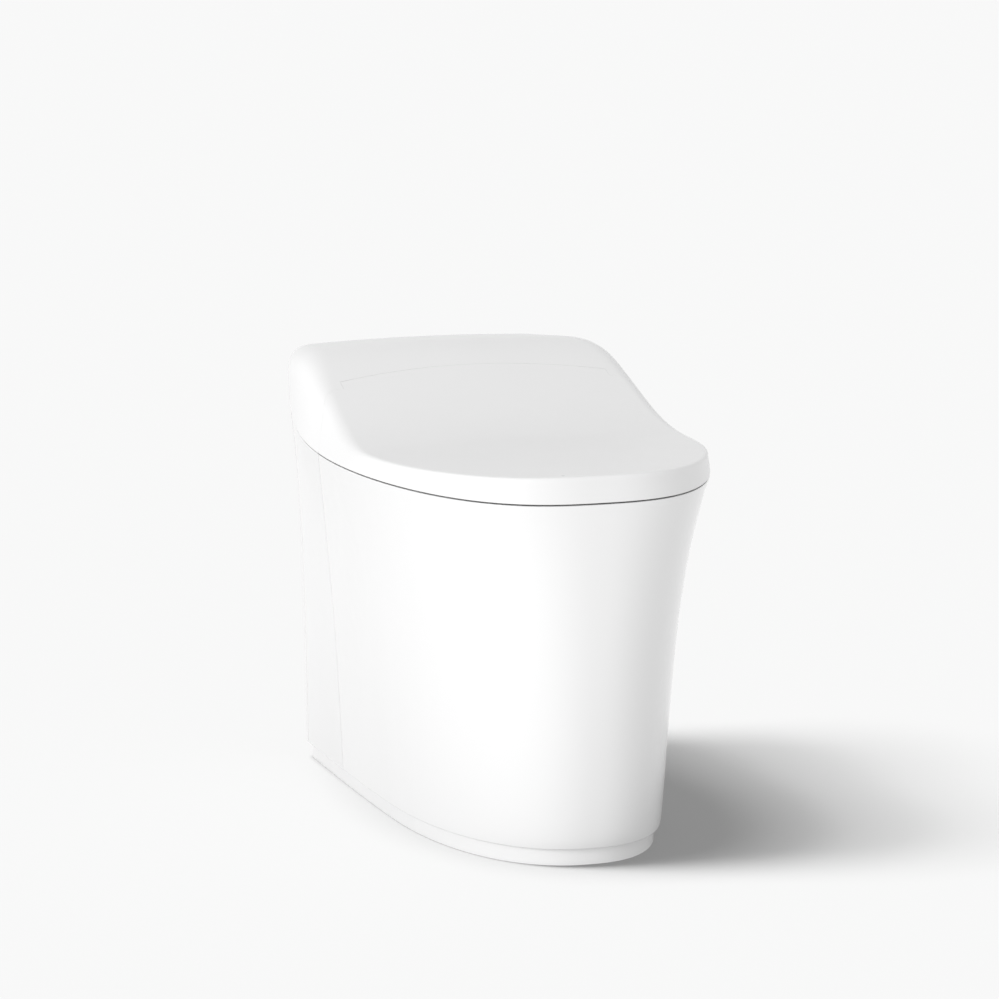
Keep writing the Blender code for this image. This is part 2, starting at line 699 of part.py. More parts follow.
def trap_route(overrun):
    """Centre line of the trapway from the sump over the weir to the floor outlet."""
    sump_floor = seam_height(0) - RIM_DROP - BOWL_DEPTH
    radius = TRAP_BORE / 2
    start = (SUMP_CENTRE_Y, sump_floor + radius * TRAP_START_LIFT_SHARE)
    dip = (mix(SUMP_CENTRE_Y, TRAP_WEIR_Y, TRAP_DIP_SHARE), sump_floor + radius - TRAP_DIP)
    weir = (TRAP_WEIR_Y, sump_floor + radius + TRAP_WEIR_RISE)
    fall = (TRAP_WEIR_Y + TRAP_BORE * TRAP_FALL_SHARES[0], weir[1] - TRAP_BORE * TRAP_FALL_SHARES[1])
    bend = (TRAP_WEIR_Y + TRAP_BORE * TRAP_BEND_SHARES[0], weir[1] * TRAP_BEND_SHARES[1])
    outlet = (OUTLET_Y, SEAL_HEIGHT * TRAP_END_SHARE)
    knots = [start, dip, weir, fall, bend, outlet]
    points = [knots[0]]
    for index in range(len(knots) - 1):
        before = knots[max(index - 1, 0)]
        here = knots[index]
        there = knots[index + 1]
        after = knots[min(index + 2, len(knots) - 1)]
        for step in range(1, 4):
            points.append(spline_point(before, here, there, after, step / 3))
    points.append((OUTLET_Y, SEAL_HEIGHT + RUNNING_GAP - overrun))
    return [(0.0, y, z) for y, z in points]


def spline_point(before, here, there, after, share):
    """A point on a smooth curve through four knots."""
    result = []
    for a, b, c, d in zip(before, here, there, after):
        value = b + 0.5 * share * (c - a + share * (2 * a - 5 * b + 4 * c - d + share * (3 * (b - c) + d - a)))
        result.append(value)
    return tuple(result)


def joint_line_y(height):
    """Where the side panel meets the ceramic at a height."""
    start = seam_height(0) * PANEL_JOINT_START_SHARE
    climb = max(height - start, 0.0) / (seam_height(0) - start)
    return PANEL_JOINT_Y - PANEL_JOINT_SWEEP * climb ** PANEL_JOINT_POWER


def half_width_at(y, outline):
    """Half width of an outline at a place along its length."""
    side = sorted((py, px) for px, py in outline if px >= 0)
    for (y_low, x_low), (y_high, x_high) in zip(side, side[1:]):
        if y_low <= y <= y_high and y_high > y_low:
            return mix(x_low, x_high, (y - y_low) / (y_high - y_low))
    return side[-1][1]


def panel_grid(gap):
    """Rows of points over the panel's outer face, with its edges drawn in by a gap."""
    bottom = PLINTH_HEIGHT + PANEL_DROP / 2 + gap
    top = seam_height(0) - RIM_DROP
    end = REAR_Y - REAR_CORNER - PANEL_REAR_LIP
    rows = []
    for height in [bottom] + skirt_heights()[1:]:
        outline = body_plan(height)
        places = [mix(joint_line_y(height), end, column / PANEL_COLUMNS) for column in range(PANEL_COLUMNS + 1)]
        places[0] += gap
        places[-1] -= gap
        lift = RIM_DROP - PANEL_DROP if height == top else 0.0
        rows.append([(half_width_at(y, outline), y, tilted(height, y) + lift) for y in places])
    return rows


def grid_shell(name, rows, outward, inward, mirror, mat=None, collection=None):
    """A sheet of points given thickness along X."""
    side = -1 if mirror else 1
    bm = bmesh.new()
    outer = [[bm.verts.new((side * (x + outward), y, z)) for x, y, z in row] for row in rows]
    inner = [[bm.verts.new((side * (x - inward), y, z)) for x, y, z in row] for row in rows]
    last_row = len(rows) - 1
    last_column = len(rows[0]) - 1
    for sheet in (outer, inner):
        for i in range(last_row):
            for j in range(last_column):
                bm.faces.new((sheet[i][j], sheet[i][j + 1], sheet[i + 1][j + 1]))
                bm.faces.new((sheet[i][j], sheet[i + 1][j + 1], sheet[i + 1][j]))
    edge = [(0, j) for j in range(last_column)] + [(i, last_column) for i in range(last_row)]
    edge += [(last_row, j) for j in range(last_column, 0, -1)] + [(i, 0) for i in range(last_row, 0, -1)]
    for (i, j), (k, m) in zip(edge, edge[1:] + edge[:1]):
        bm.faces.new((outer[i][j], outer[k][m], inner[k][m], inner[i][j]))
    bmesh.ops.recalc_face_normals(bm, faces=bm.faces)
    mesh = bpy.data.meshes.new(name)
    bm.to_mesh(mesh)
    bm.free()
    return new_object(name, mesh, mat, collection)


def side_panel(side_name, mirror, mat):
    panel = grid_shell("side_panel_" + side_name, panel_grid(SEAT_GAP), 0.0, PANEL_THICKNESS, mirror, mat)
    smooth(panel)
    return panel


def rebate_rows():
    """The panel's grid carried past the seam and the floor side of its seat."""
    rows = panel_grid(0.0)
    top = [(x, y, z + OVERRUN) for x, y, z in rows[-1]]
    return rows + [top]


def service_window(name):
    """A through opening behind each panel, across the whole body."""
    bottom = PLINTH_HEIGHT + WINDOW_BORDER
    top = seam_height(0) - RIM_DROP - DECK_THICKNESS - WINDOW_BORDER / 2
    heights = [mix(bottom, top, step / 4) for step in range(5)]
    front = [(joint_line_y(height) + WINDOW_BORDER, height) for height in heights]
    rear = REAR_Y - REAR_CORNER - PANEL_REAR_LIP - WINDOW_BORDER
    return prism(name, front + [(rear, top), (rear, bottom)], -WIDTH, WIDTH, collection=CUTTERS)


def fitting_height():
    return mix(PLINTH_HEIGHT, seam_height(0), FITTING_HEIGHT_SHARE)


def ceramic_body(mat):
    body = skirt_solid("ceramic_body", mat)
    combine(body, skirt_hollow("hollow"), "DIFFERENCE")
    combine(body, bowl_shell("bowl_shell"), "UNION")
    combine(body, tube("trap_shell", trap_route(0.0), TRAP_BORE / 2 + BOWL_WALL, collection=CUTTERS), "UNION")
    combine(body, bowl_void("bowl_void"), "DIFFERENCE")
    combine(body, tube("trap_void", trap_route(OVERRUN), TRAP_BORE / 2, collection=CUTTERS), "DIFFERENCE")
    for mirror in (False, True):
        depth = PANEL_THICKNESS + SEAT_GAP
        rebate = grid_shell("rebate", rebate_rows(), OVERRUN, depth, mirror, collection=CUTTERS)
        combine(body, rebate, "DIFFERENCE")
    combine(body, service_window("window"), "DIFFERENCE")
    rim = seam_height(0) - RIM_DROP
    notch_low = (-NOTCH_HALF_WIDTH, BOWL_CENTRE_Y + BOWL_HALF_LENGTH - WALL * 2, rim - NOTCH_DEPTH)
    notch = box("notch", notch_low, (NOTCH_HALF_WIDTH, NOTCH_REAR_Y, rim + WALL), collection=CUTTERS)
    combine(body, notch, "DIFFERENCE")
    hole = cylinder(
        "fitting_hole", FITTING_RADIUS + FITTING_GAP,
        (VALVE_X, REAR_Y - WALL * 2, fitting_height()), (VALVE_X, REAR_Y + OVERRUN, fitting_height()),
        collection=CUTTERS,
    )
    combine(body, hole, "DIFFERENCE")
    screw_holes(body, SCREW_GAP)
    smooth(body)
    return body


def outlet_seal(mat):
    centre = Vector((0, OUTLET_Y, 0))
    up = Vector((0, 0, 1))
    ring = cylinder("outlet_seal", TRAP_BORE / 2 + SEAL_WIDTH, centre, centre + up * SEAL_HEIGHT, mat, sides=ROUND_SIDES)
    bore = cylinder(
        "bore", TRAP_BORE / 2, centre - up * OVERRUN, centre + up * (SEAL_HEIGHT + OVERRUN),
        collection=CUTTERS, sides=ROUND_SIDES,
    )
    combine(ring, bore, "DIFFERENCE")
    smooth(ring)


# Top surface of lid and cover

def eased_run(value):
    """Height gained by a slope that grows by smoothstep from 0 to 1 and then stays."""
    eased = min(max(value, 0.0), 1.0)
    return eased ** 3 - eased ** 4 / 2 + max(value - 1, 0.0)


def s_curve_rise(y):
    """Rise of the S-curve where its steepest slope is 1: up to the crest, then a slight fall."""
    up = S_CURVE_LENGTH * eased_run((y - S_CURVE_START_Y) / S_CURVE_LENGTH)
    down = CREST_LENGTH * eased_run((y - CREST_START_Y) / CREST_LENGTH)
    return up - down / smoothstep(CREST_SHARE)


def profile_height(y):
    """Height of the top along the middle."""
    return mix(LID_TOP, HEIGHT, s_curve_rise(y) / s_curve_rise(CREST_Y))


def top_height(x, y):
    crown = mix(FRONT_CROWN, REAR_CROWN, smoothstep((y - S_CURVE_START_Y) / CROWN_GROWTH_LENGTH))
    return profile_height(y) - crown * (x / CROWN_HALF_WIDTH) ** 2


def band_inset(y):
    """How far the top edge lies inside the seam outline; the sides flare out again to the rear."""
    if y >= REAR_Y:
        return BAND_LEAN
    away = min(abs(y - SHOULDER_Y) / SHOULDER_REACH, 1.0)
    flare = REAR_FLARE * smoothstep((y - SHOULDER_Y) / SHOULDER_REACH)
    return BAND_LEAN + SHOULDER_LEAN * math.cos(math.pi / 2 * away) ** 2 - flare


def edge_radius(y):
    rise = smoothstep((y - S_CURVE_START_Y) / (SHOULDER_Y - S_CURVE_START_Y))
    growth = (REAR_RADIUS - SHOULDER_RADIUS) * smoothstep((y - SHOULDER_Y) / REAR_RADIUS_GROWTH)
    return mix(CREASE_RADIUS, SHOULDER_RADIUS, rise) + growth


def surface_loop(inset, drop):
    """The seam outline drawn in and laid on the top surface."""
    return [Vector((x, y, top_height(x, y) - drop)) for x, y in seam_plan(inset)]


def shell_loops(lift, inset=0.0, drop=0.0):
    """Loops from the seam, up the leaning band, round the edge and in over the top."""
    seam = [Vector((x, y, seam_height(y) + lift)) for x, y in seam_plan(inset)]
    corner = surface_loop(lambda y: inset + band_inset(y), drop)
    over = surface_loop(lambda y: inset + band_inset(y) + edge_radius(y), drop)
    under = []
    for low, high in zip(seam, corner):
        share = min(edge_radius(high.y) / (low - high).length, EDGE_LIMIT_SHARE)
        under.append(high.lerp(low, share))
    loops = [seam]
    for share in EDGE_ROUNDING_SHARES:
        loops.append([
            low.lerp(middle, share).lerp(middle.lerp(high, share), share)
            for low, middle, high in zip(under, corner, over)
        ])
    for share in TOP_RING_SHARES:
        ring = [(point.x * share, WIDEST_Y + (point.y - WIDEST_Y) * share) for point in over]
        loops.append([(x, y, top_height(x, y) - drop) for x, y in ring])
    return loops


def hinge_height():
    """The shaft lies a set depth under the top, square to its slope."""
    return profile_height(HINGE_Y) - HINGE_DEPTH / math.cos(slope_at_hinge())


def slope_at_hinge():
    step = SHAFT_RADIUS
    return math.atan((profile_height(HINGE_Y + step) - profile_height(HINGE_Y - step)) / (2 * step))


def hinge_point(x=0.0):
    return Vector((x, HINGE_Y, hinge_height()))


def split_points(side_clearance, forward):
    """Half of the split line in plan, from the middle outwards, moved by a clearance."""
    points = []
    for step in range(SPLIT_STEPS + 1):
        x = SPLIT_STEP_X * step / SPLIT_STEPS
        points.append((x, SPLIT_Y - SPLIT_BOW * (x / SPLIT_STEP_X) ** 2 - forward))
    points[-1] = (SPLIT_STEP_X - side_clearance, points[-1][1])
    points.append((SPLIT_STEP_X - side_clearance, SPLIT_STEP_FRONT_Y - forward))
    span = SPLIT_SIDE_X - SPLIT_STEP_X
    for share in SPLIT_SIDE_SHARES:
        x = SPLIT_STEP_X + span * share
        points.append((x, mix(SPLIT_STEP_FRONT_Y, SPLIT_SIDE_Y, share ** 2) - forward))
    slope = (SPLIT_SEAM_Y - SPLIT_SIDE_Y) / (WIDTH / 2 - SPLIT_SIDE_X)
    outer_x = WIDTH / 2 + OVERRUN
    points.append((outer_x, SPLIT_SIDE_Y + slope * (outer_x - SPLIT_SIDE_X) - forward))
    return points


def split_zone(name, side_clearance, forward):
    """Everything ahead of the split line."""
    half = split_points(side_clearance, forward)
    front = FRONT_Y - OVERRUN
    outline = [(-x, y) for x, y in reversed(half[1:])] + half + [(half[-1][0], front), (-half[-1][0], front)]
    return flat_plate(name, outline, SEAM_FRONT_HEIGHT - OVERRUN * 2, HEIGHT + OVERRUN, collection=CUTTERS)


def shell_piece(name, lift, mat):
    """A moulded skin, open at the bottom."""
    outer = loft(name, shell_loops(lift), mat)
    inner_loops = shell_loops(lift, SKIN, SKIN)
    inner_loops[0] = [(x, y, z - OVERRUN) for x, y, z in inner_loops[0]]
    combine(outer, loft("inside", inner_loops, collection=CUTTERS), "DIFFERENCE")
    return outer


def lid_edge_radius(x):
    """Distance from the shaft to the lid's rear edge."""
    y = SPLIT_Y - SPLIT_BOW * (x / SPLIT_STEP_X) ** 2
    return math.hypot(y - HINGE_Y, top_height(x, y) - hinge_height())


def swept_barrel(name):
    """What the lid's rear edge sweeps as it turns about the shaft."""
    steps = 6
    bm = bmesh.new()
    places = [SPLIT_STEP_X * step / steps for step in range(-steps, steps + 1)]
    profile = [bm.verts.new((x, 0, lid_edge_radius(x) + BARREL_CLEARANCE)) for x in places]
    ends = [bm.verts.new((places[0], 0, 0)), bm.verts.new((places[-1], 0, 0))]
    chain = [ends[0], *profile, ends[1]]
    for a, b in zip(chain, chain[1:]):
        bm.edges.new((a, b))
    mesh = bpy.data.meshes.new(name)
    bm.to_mesh(mesh)
    bm.free()
    obj = new_object(name, mesh, collection=CUTTERS)
    obj.location = hinge_point()
    screw = obj.modifiers.new("turned", "SCREW")
    screw.axis = "X"
    screw.steps = ROUND_SIDES * 2
    screw.render_steps = ROUND_SIDES * 2
    screw.use_merge_vertices = True
    screw.merge_threshold = MERGE_DISTANCE
    screw.use_normal_calculate = True
    return obj


def knuckle_web():
    """Section of the web that joins a knuckle to the skin above it."""
    axis = hinge_point()
    slope = slope_at_hinge()
    normal = Vector((0, -math.sin(slope), math.cos(slope)))
    across = Vector((0, math.cos(slope), math.sin(slope))) * LID_KNUCKLE_RADIUS * KNUCKLE_WEB_SHARE
    drop = profile_height(HINGE_Y) - top_height(LID_KNUCKLE_OUTER_X, HINGE_Y)
    top = axis + normal * (HINGE_DEPTH - drop - SKIN * KNUCKLE_SINK_SHARE)
    return [(point.y, point.z) for point in (axis - across, axis + across, top + across, top - across)]


def add_knuckles(obj, section, inner_x, outer_x, radius):
    """Join a pair of knuckles with the arms that carry them, and bore them for the shaft."""
    for side in (-1, 1):
        low, high = sorted((side * inner_x, side * outer_x))
        knuckle = cylinder("knuckle", radius, hinge_point(low), hinge_point(high), collection=CUTTERS)
        arm = prism("arm", section, low + KNUCKLE_SHOULDER, high - KNUCKLE_SHOULDER, collection=CUTTERS)
        combine(knuckle, arm, "UNION")
        combine(obj, knuckle, "UNION")
    end = outer_x + OVERRUN / 4
    bore = cylinder("bore", SHAFT_RADIUS + RUNNING_GAP, hinge_point(-end), hinge_point(end), collection=CUTTERS)
    combine(obj, bore, "DIFFERENCE")


def lid_piece(mat):
    lid = shell_piece("lid", LID_LIFT, mat)
    combine(lid, split_zone("zone", SPLIT_GAP / 2, SPLIT_GAP / 2), "INTERSECT")
    add_knuckles(lid, knuckle_web(), LID_KNUCKLE_INNER_X, LID_KNUCKLE_OUTER_X, LID_KNUCKLE_RADIUS)
    smooth(lid)
    set_origin(lid, hinge_point())
    return lid


def button_frame(cover, index):
    """Centre of a push button on the cover's right wall, and the way out of it."""
    y = BUTTON_FRONT_Y + BUTTON_SPACING * index
    height = mix(seam_height(y), top_height(CROWN_HALF_WIDTH, y), BUTTON_HEIGHT_SHARE)
    _, centre, outward, _ = cover.ray_cast(Vector((WIDTH, y, height)), Vector((-1, 0, 0)))
    return centre.copy(), outward.copy()


def skin_depth(cover, centre, outward, radius):
    """How far behind the wall its inner face lies, at the deepest point round a circle."""
    side = outward.orthogonal().normalized() * radius
    depths = []
    for index in range(SMALL_SIDES):
        turn = Matrix.Rotation(2 * math.pi * index / SMALL_SIDES, 3, outward)
        start = centre + turn @ side + outward * OVERRUN
        _, entry, _, _ = cover.ray_cast(start, -outward)
        _, leave, _, _ = cover.ray_cast(entry - outward * SEAT_GAP, -outward)
        depths.append((leave - start).length - OVERRUN)
    return max(depths)


def filter_box():
    """Low and high corners of the filter cartridge before its outer end is shaped."""
    base = seam_height(FAN_CENTRE[1]) + FILTER_LIFT
    half = FILTER_SIZE[1] / 2
    low = (FILTER_INNER_X, FAN_CENTRE[1] - half, base)
    high = (WIDTH / 2, FAN_CENTRE[1] + half, base + FILTER_SIZE[2])
    return Vector(low), Vector(high)


def gland_place():
    """Where the gland's axis meets the outside of the rear wall."""
    wall = top_height(GLAND_X, REAR_Y) - seam_height(REAR_Y)
    lean = BAND_LEAN * GLAND_RISE / wall
    return Vector((GLAND_X, REAR_Y - lean, seam_height(REAR_Y) + GLAND_RISE))


def rear_cover(mat):
    """The cover, with the centre, direction and skin depth of each button."""
    cover = shell_piece("rear_cover", COVER_LIFT, mat)
    combine(cover, split_zone("zone", -SPLIT_GAP / 2, -SPLIT_GAP / 2), "DIFFERENCE")
    combine(cover, swept_barrel("barrel"), "DIFFERENCE")
    buttons = []
    for index in range(2):
        centre, outward = button_frame(cover, index)
        buttons.append((centre, outward, skin_depth(cover, centre, outward, BUTTON_FLANGE_RADIUS)))
    for centre, outward, depth in buttons:
        reach = outward * OVERRUN
        hole = cylinder("hole", BUTTON_RADIUS + BUTTON_GAP, centre - reach, centre + reach, collection=CUTTERS)
        combine(cover, hole, "DIFFERENCE")
    low, high = filter_box()
    margin = Vector((0, FILTER_GAP, FILTER_GAP))
    combine(cover, box("slot", low - margin, high + margin, collection=CUTTERS), "DIFFERENCE")
    place = gland_place()
    reach = Vector((0, OVERRUN * 2, 0))
    hole = cylinder("hole", GLAND_RADIUS + FITTING_GAP, place - reach, place + reach, collection=CUTTERS)
    combine(cover, hole, "DIFFERENCE")
    smooth(cover)
    return buttons


# Seat

def seat_plan():
    outline = seam_plan(SEAT_INSET)
    kept = [(x, y) for x, y in outline if y <= SEAT_REAR_Y]
    corner = half_width_at(SEAT_REAR_Y, outline)
    right = [point for point in kept if point[0] >= 0]
    left = [point for point in kept if point[0] < 0]
    inset = corner - SEAT_INSET
    return [(-inset, SEAT_REAR_Y), (inset, SEAT_REAR_Y), (corner, SEAT_REAR_Y - SEAT_INSET)] + [
        point for point in right if point[1] < SEAT_REAR_Y - SEAT_INSET
    ] + [point for point in left if point[1] < SEAT_REAR_Y - SEAT_INSET] + [(-corner, SEAT_REAR_Y - SEAT_INSET)]


def slab(name, outline, low, high, mat=None, collection=None):
    """A plate that follows the seam's slope, between two heights above the seam."""
    plate = flat_plate(name, outline, -OVERRUN, OVERRUN, mat, collection)
    for vertex in plate.data.vertices:
        vertex.co.z = seam_height(vertex.co.y) + (high if vertex.co.z > 0 else low)
    return plate


def seat_piece(mat):
    seat = slab("seat", seat_plan(), SEAT_LIFT, SEAT_LIFT + SEAT_THICKNESS, mat)
    hole_plan = ellipse(SEAT_HOLE_CENTRE_Y, SEAT_HOLE_HALF_WIDTH, SEAT_HOLE_HALF_LENGTH, ROUND_SIDES * 2)
    combine(seat, slab("hole", hole_plan, -OVERRUN, SEAT_THICKNESS + OVERRUN, collection=CUTTERS), "DIFFERENCE")
    axis = hinge_point()
    foot = Vector((0, SEAT_ARM_FOOT_Y, seam_height(SEAT_ARM_FOOT_Y) + SEAT_LIFT + SEAT_THICKNESS / 2))
    along = (axis - foot).normalized()
    across = Vector((0, -along.z, along.y)) * SEAT_ARM_THICKNESS / 2
    corners = [foot - across, axis - across, axis + across, foot + across]
    section = [(corner.y, corner.z) for corner in corners]
    add_knuckles(seat, section, SEAT_KNUCKLE_INNER_X, SEAT_KNUCKLE_OUTER_X, SEAT_KNUCKLE_RADIUS)
    smooth(seat)
    set_origin(seat, axis)
    return seat


def seam_normal():
    return Vector((0, SEAM_FRONT_HEIGHT - SEAM_REAR_HEIGHT, LENGTH)).normalized()


def seat_bumpers(mat):
    up = seam_normal()
    for side_name, side in (("left", -1), ("right", 1)):
        for end_name, y in (("front", SEAT_BUMPER_FRONT_Y), ("rear", SEAT_BUMPER_REAR_Y)):
            base = Vector((side * SEAT_BUMPER_X, y, seam_height(y)))
            low = base + up * (SEAT_GAP - RIM_DROP)
            high = base + up * (SEAT_LIFT - SEAT_GAP)
            cylinder(f"seat_bumper_{end_name}_{side_name}", SEAT_BUMPER_RADIUS, low, high, mat)


def lid_bumpers(mat):
    for side_name, side in (("left", -1), ("right", 1)):
        x = side * LID_BUMPER_X
        low = Vector((x, LID_BUMPER_Y, seam_height(LID_BUMPER_Y) + SEAT_LIFT + SEAT_THICKNESS + SEAT_GAP * 2))
        outermost = abs(x) + LID_BUMPER_RADIUS
        high = Vector((x, LID_BUMPER_Y, top_height(outermost, LID_BUMPER_Y) - SKIN - SEAT_GAP))
        cylinder("lid_bumper_" + side_name, LID_BUMPER_RADIUS, low, high, mat)


# Washing unit

def deck_height(y):
    return seam_height(y) - RIM_DROP


def chassis_floor_top(y):
    return deck_height(y) + SEAT_GAP + CHASSIS_FLOOR


def polar(radius, angle):
    """A point round the shaft: angle 0 is up and 90 degrees is towards the wall."""
    axis = hinge_point()
    return (axis.y + radius * math.sin(angle), axis.z + radius * math.cos(angle))


def chassis_outline():
    """Section of the chassis: floor, front wall and the trough round the hinge."""
    steps = 8
    span = TROUGH_FRONT_ANGLE - TROUGH_REAR_ANGLE
    angles = [TROUGH_FRONT_ANGLE - span * step / steps for step in range(steps + 1)]
    inner = [polar(TROUGH_RADIUS, angle) for angle in angles]
    outer = [polar(TROUGH_RADIUS + CHASSIS_WALL, angle) for angle in angles[1:]]
    floor_front = (CHASSIS_FRONT_Y, deck_height(CHASSIS_FRONT_Y) + SEAT_GAP)
    floor_rear = (CHASSIS_REAR_Y, deck_height(CHASSIS_REAR_Y) + SEAT_GAP)
    inner_y = CHASSIS_FRONT_Y + CHASSIS_WALL * 2
    outline = [floor_front, inner[0]] + inner[1:] + list(reversed(outer))
    outline.append((inner_y, chassis_floor_top(inner_y)))
    outline.append((CHASSIS_REAR_Y, chassis_floor_top(CHASSIS_REAR_Y)))
    outline.append(floor_rear)
    return outline


def on_chassis_floor(y):
    return chassis_floor_top(y) + SEAT_GAP


def wand_point(distance):
    """A point on the wand's axis, measured back from its mouth."""
    mouth = Vector((0, WAND_MOUTH_Y, seam_height(WAND_MOUTH_Y) - WAND_MOUTH_DROP))
    return mouth + Vector((0, math.cos(WAND_SLOPE), math.sin(WAND_SLOPE))) * distance


def unit_chassis(mat):
    chassis = prism("unit_chassis", chassis_outline(), -CHASSIS_HALF_WIDTH, CHASSIS_HALF_WIDTH, mat)
    front = polar(TROUGH_RADIUS + CHASSIS_WALL / 2, TROUGH_FRONT_ANGLE)
    rear = polar(TROUGH_RADIUS + CHASSIS_WALL / 2, RIB_REAR_ANGLE)
    top_front, top_rear = [polar(SHAFT_RIB_RADIUS, angle) for angle in RIB_TOP_ANGLES]
    section = [front, top_front, top_rear, rear]
    add_knuckles(chassis, section, SHAFT_RIB_INNER_X, SHAFT_RIB_OUTER_X, SHAFT_RIB_RADIUS)
    passage = cylinder(
        "passage", WAND_RADIUS + WAND_GAP * 2, wand_point(-OVERRUN * 2), wand_point(HOUSING_LENGTH / 2),
        collection=CUTTERS, sides=ROUND_SIDES,
    )
    combine(chassis, passage, "DIFFERENCE")
    screw_holes(chassis, SCREW_GAP)
    smooth(chassis)
    return chassis


def hinge_shaft(mat, cap_mat):
    end = SHAFT_RIB_OUTER_X + CAP_LENGTH / 2
    cylinder("hinge_shaft", SHAFT_RADIUS, hinge_point(-end), hinge_point(end), mat)
    for side_name, side in (("left", -1), ("right", 1)):
        near = hinge_point(side * (SHAFT_RIB_OUTER_X + RUNNING_GAP))
        far = hinge_point(side * (SHAFT_RIB_OUTER_X + RUNNING_GAP + CAP_LENGTH))
        cap = cylinder("shaft_cap_" + side_name, CAP_RADIUS, near, far, cap_mat)
        pocket_end = hinge_point(side * (end + RUNNING_GAP))
        pocket_start = hinge_point(side * SHAFT_RIB_INNER_X)
        pocket = cylinder("pocket", SHAFT_RADIUS + RUNNING_GAP, pocket_start, pocket_end, collection=CUTTERS)
        combine(cap, pocket, "DIFFERENCE")
        smooth(cap)


def nozzle_housing(mat):
    """A block that guides the wand, standing on the chassis floor."""
    front = HOUSING_FRONT_Y
    rear = front + HOUSING_LENGTH * math.cos(WAND_SLOPE)
    rise = (WAND_RADIUS + HOUSING_WALL) / math.cos(WAND_SLOPE)
    slope = math.tan(WAND_SLOPE)
    mouth = wand_point(0)
    outline = [
        (front, chassis_floor_top(front) + SEAT_GAP),
        (front, mouth.z + (front - mouth.y) * slope + rise),
        (rear, mouth.z + (rear - mouth.y) * slope + rise),
        (rear, chassis_floor_top(rear) + SEAT_GAP),
    ]
    housing = prism("nozzle_housing", outline, -HOUSING_HALF_WIDTH, HOUSING_HALF_WIDTH, mat)
    bore = cylinder(
        "bore", WAND_RADIUS + WAND_GAP, wand_point(0), wand_point(WAND_LENGTH + HOUSING_LENGTH),
        collection=CUTTERS, sides=ROUND_SIDES,
    )
    combine(housing, bore, "DIFFERENCE")
    smooth(housing)


def nozzle_wand(mat, tip_mat):
    tip = wand_point(WAND_SETBACK)
    shoulder = wand_point(WAND_SETBACK + WAND_TIP_LENGTH)
    rod_start = wand_point(WAND_SETBACK + WAND_TIP_LENGTH + SEAT_GAP)
    cylinder("wand_tip", WAND_RADIUS * WAND_TIP_SHARE, tip, shoulder, tip_mat, sides=ROUND_SIDES, end_radius=WAND_RADIUS)
    cylinder("nozzle_wand", WAND_RADIUS, rod_start, wand_point(WAND_SETBACK + WAND_LENGTH), mat, sides=ROUND_SIDES)


def standing_box(name, size, centre, mat):
    """A box on the chassis floor, its base following the floor's slope."""
    x, y = centre
    width, length, height = size
    top = chassis_floor_top(y) + height
    return fitted_box(
        name, x - width / 2, x + width / 2, y - length / 2, y + length / 2, on_chassis_floor, lambda _: top, mat
    )


def fan_unit(mat, fan_mat):
    housing = standing_box("fan_housing", FAN_HOUSING_SIZE, FAN_CENTRE, mat)
    base = chassis_floor_top(FAN_CENTRE[1]) + FAN_FLOOR
    centre = Vector((*FAN_CENTRE, base))
    up = Vector((0, 0, 1))
    top = centre + up * FAN_HOUSING_SIZE[2]
    chamber = cylinder("chamber", FAN_CHAMBER_RADIUS, centre, top, collection=CUTTERS, sides=ROUND_SIDES)
    combine(housing, chamber, "DIFFERENCE")
    pin_top = centre + up * FAN_HEIGHT / 2
    pin = cylinder("pin", FAN_PIN_RADIUS, centre - up * FAN_FLOOR / 2, pin_top, collection=CUTTERS)
    combine(housing, pin, "UNION")
    smooth(housing)
    hub_low = centre + up * SEAT_GAP
    hub_high = hub_low + up * FAN_HEIGHT
    impeller = cylinder("fan_impeller", FAN_HUB_RADIUS, hub_low, hub_high, fan_mat)
    for index in range(FAN_BLADES):
        turn = 2 * math.pi * index / FAN_BLADES
        half = FAN_BLADE_THICKNESS / 2
        blade = box(
            "blade", (FAN_HUB_RADIUS / 2, -half, hub_low.z + FAN_FLOOR / 2),
            (FAN_RADIUS, half, hub_high.z - FAN_FLOOR / 4), collection=CUTTERS,
        )
        blade.data.transform(Matrix.Translation((*FAN_CENTRE, 0)) @ Matrix.Rotation(turn, 4, "Z"))
        combine(impeller, blade, "UNION")
    socket_top = pin_top + up * RUNNING_GAP
    socket = cylinder("socket", FAN_PIN_RADIUS + RUNNING_GAP, centre - up * FAN_FLOOR, socket_top, collection=CUTTERS)
    combine(impeller, socket, "DIFFERENCE")
    smooth(impeller)
    set_origin(impeller, hub_low)


def filter_cartridge(mat, guide_mat):
    low, high = filter_box()
    cartridge = box("filter_cartridge", low, high, mat)
    combine(cartridge, loft("outer", shell_loops(COVER_LIFT), collection=CUTTERS), "INTERSECT")
    guide_x = FAN_CENTRE[0] + FAN_HOUSING_SIZE[0] / 2 + SEAT_GAP
    guide_top = high.z + FILTER_GUIDE
    guide = fitted_box(
        "filter_guide", guide_x, low.x + FILTER_SIZE[0] / 2, low.y - FILTER_GUIDE, high.y + FILTER_GUIDE,
        on_chassis_floor, lambda _: guide_top, guide_mat,
    )
    margin = Vector((0, FILTER_GAP / 2, FILTER_GAP / 2))
    slot_low = low - margin - Vector((FILTER_GAP / 2, 0, 0))
    slot = box("slot", slot_low, high + margin, collection=CUTTERS)
    combine(guide, slot, "DIFFERENCE")


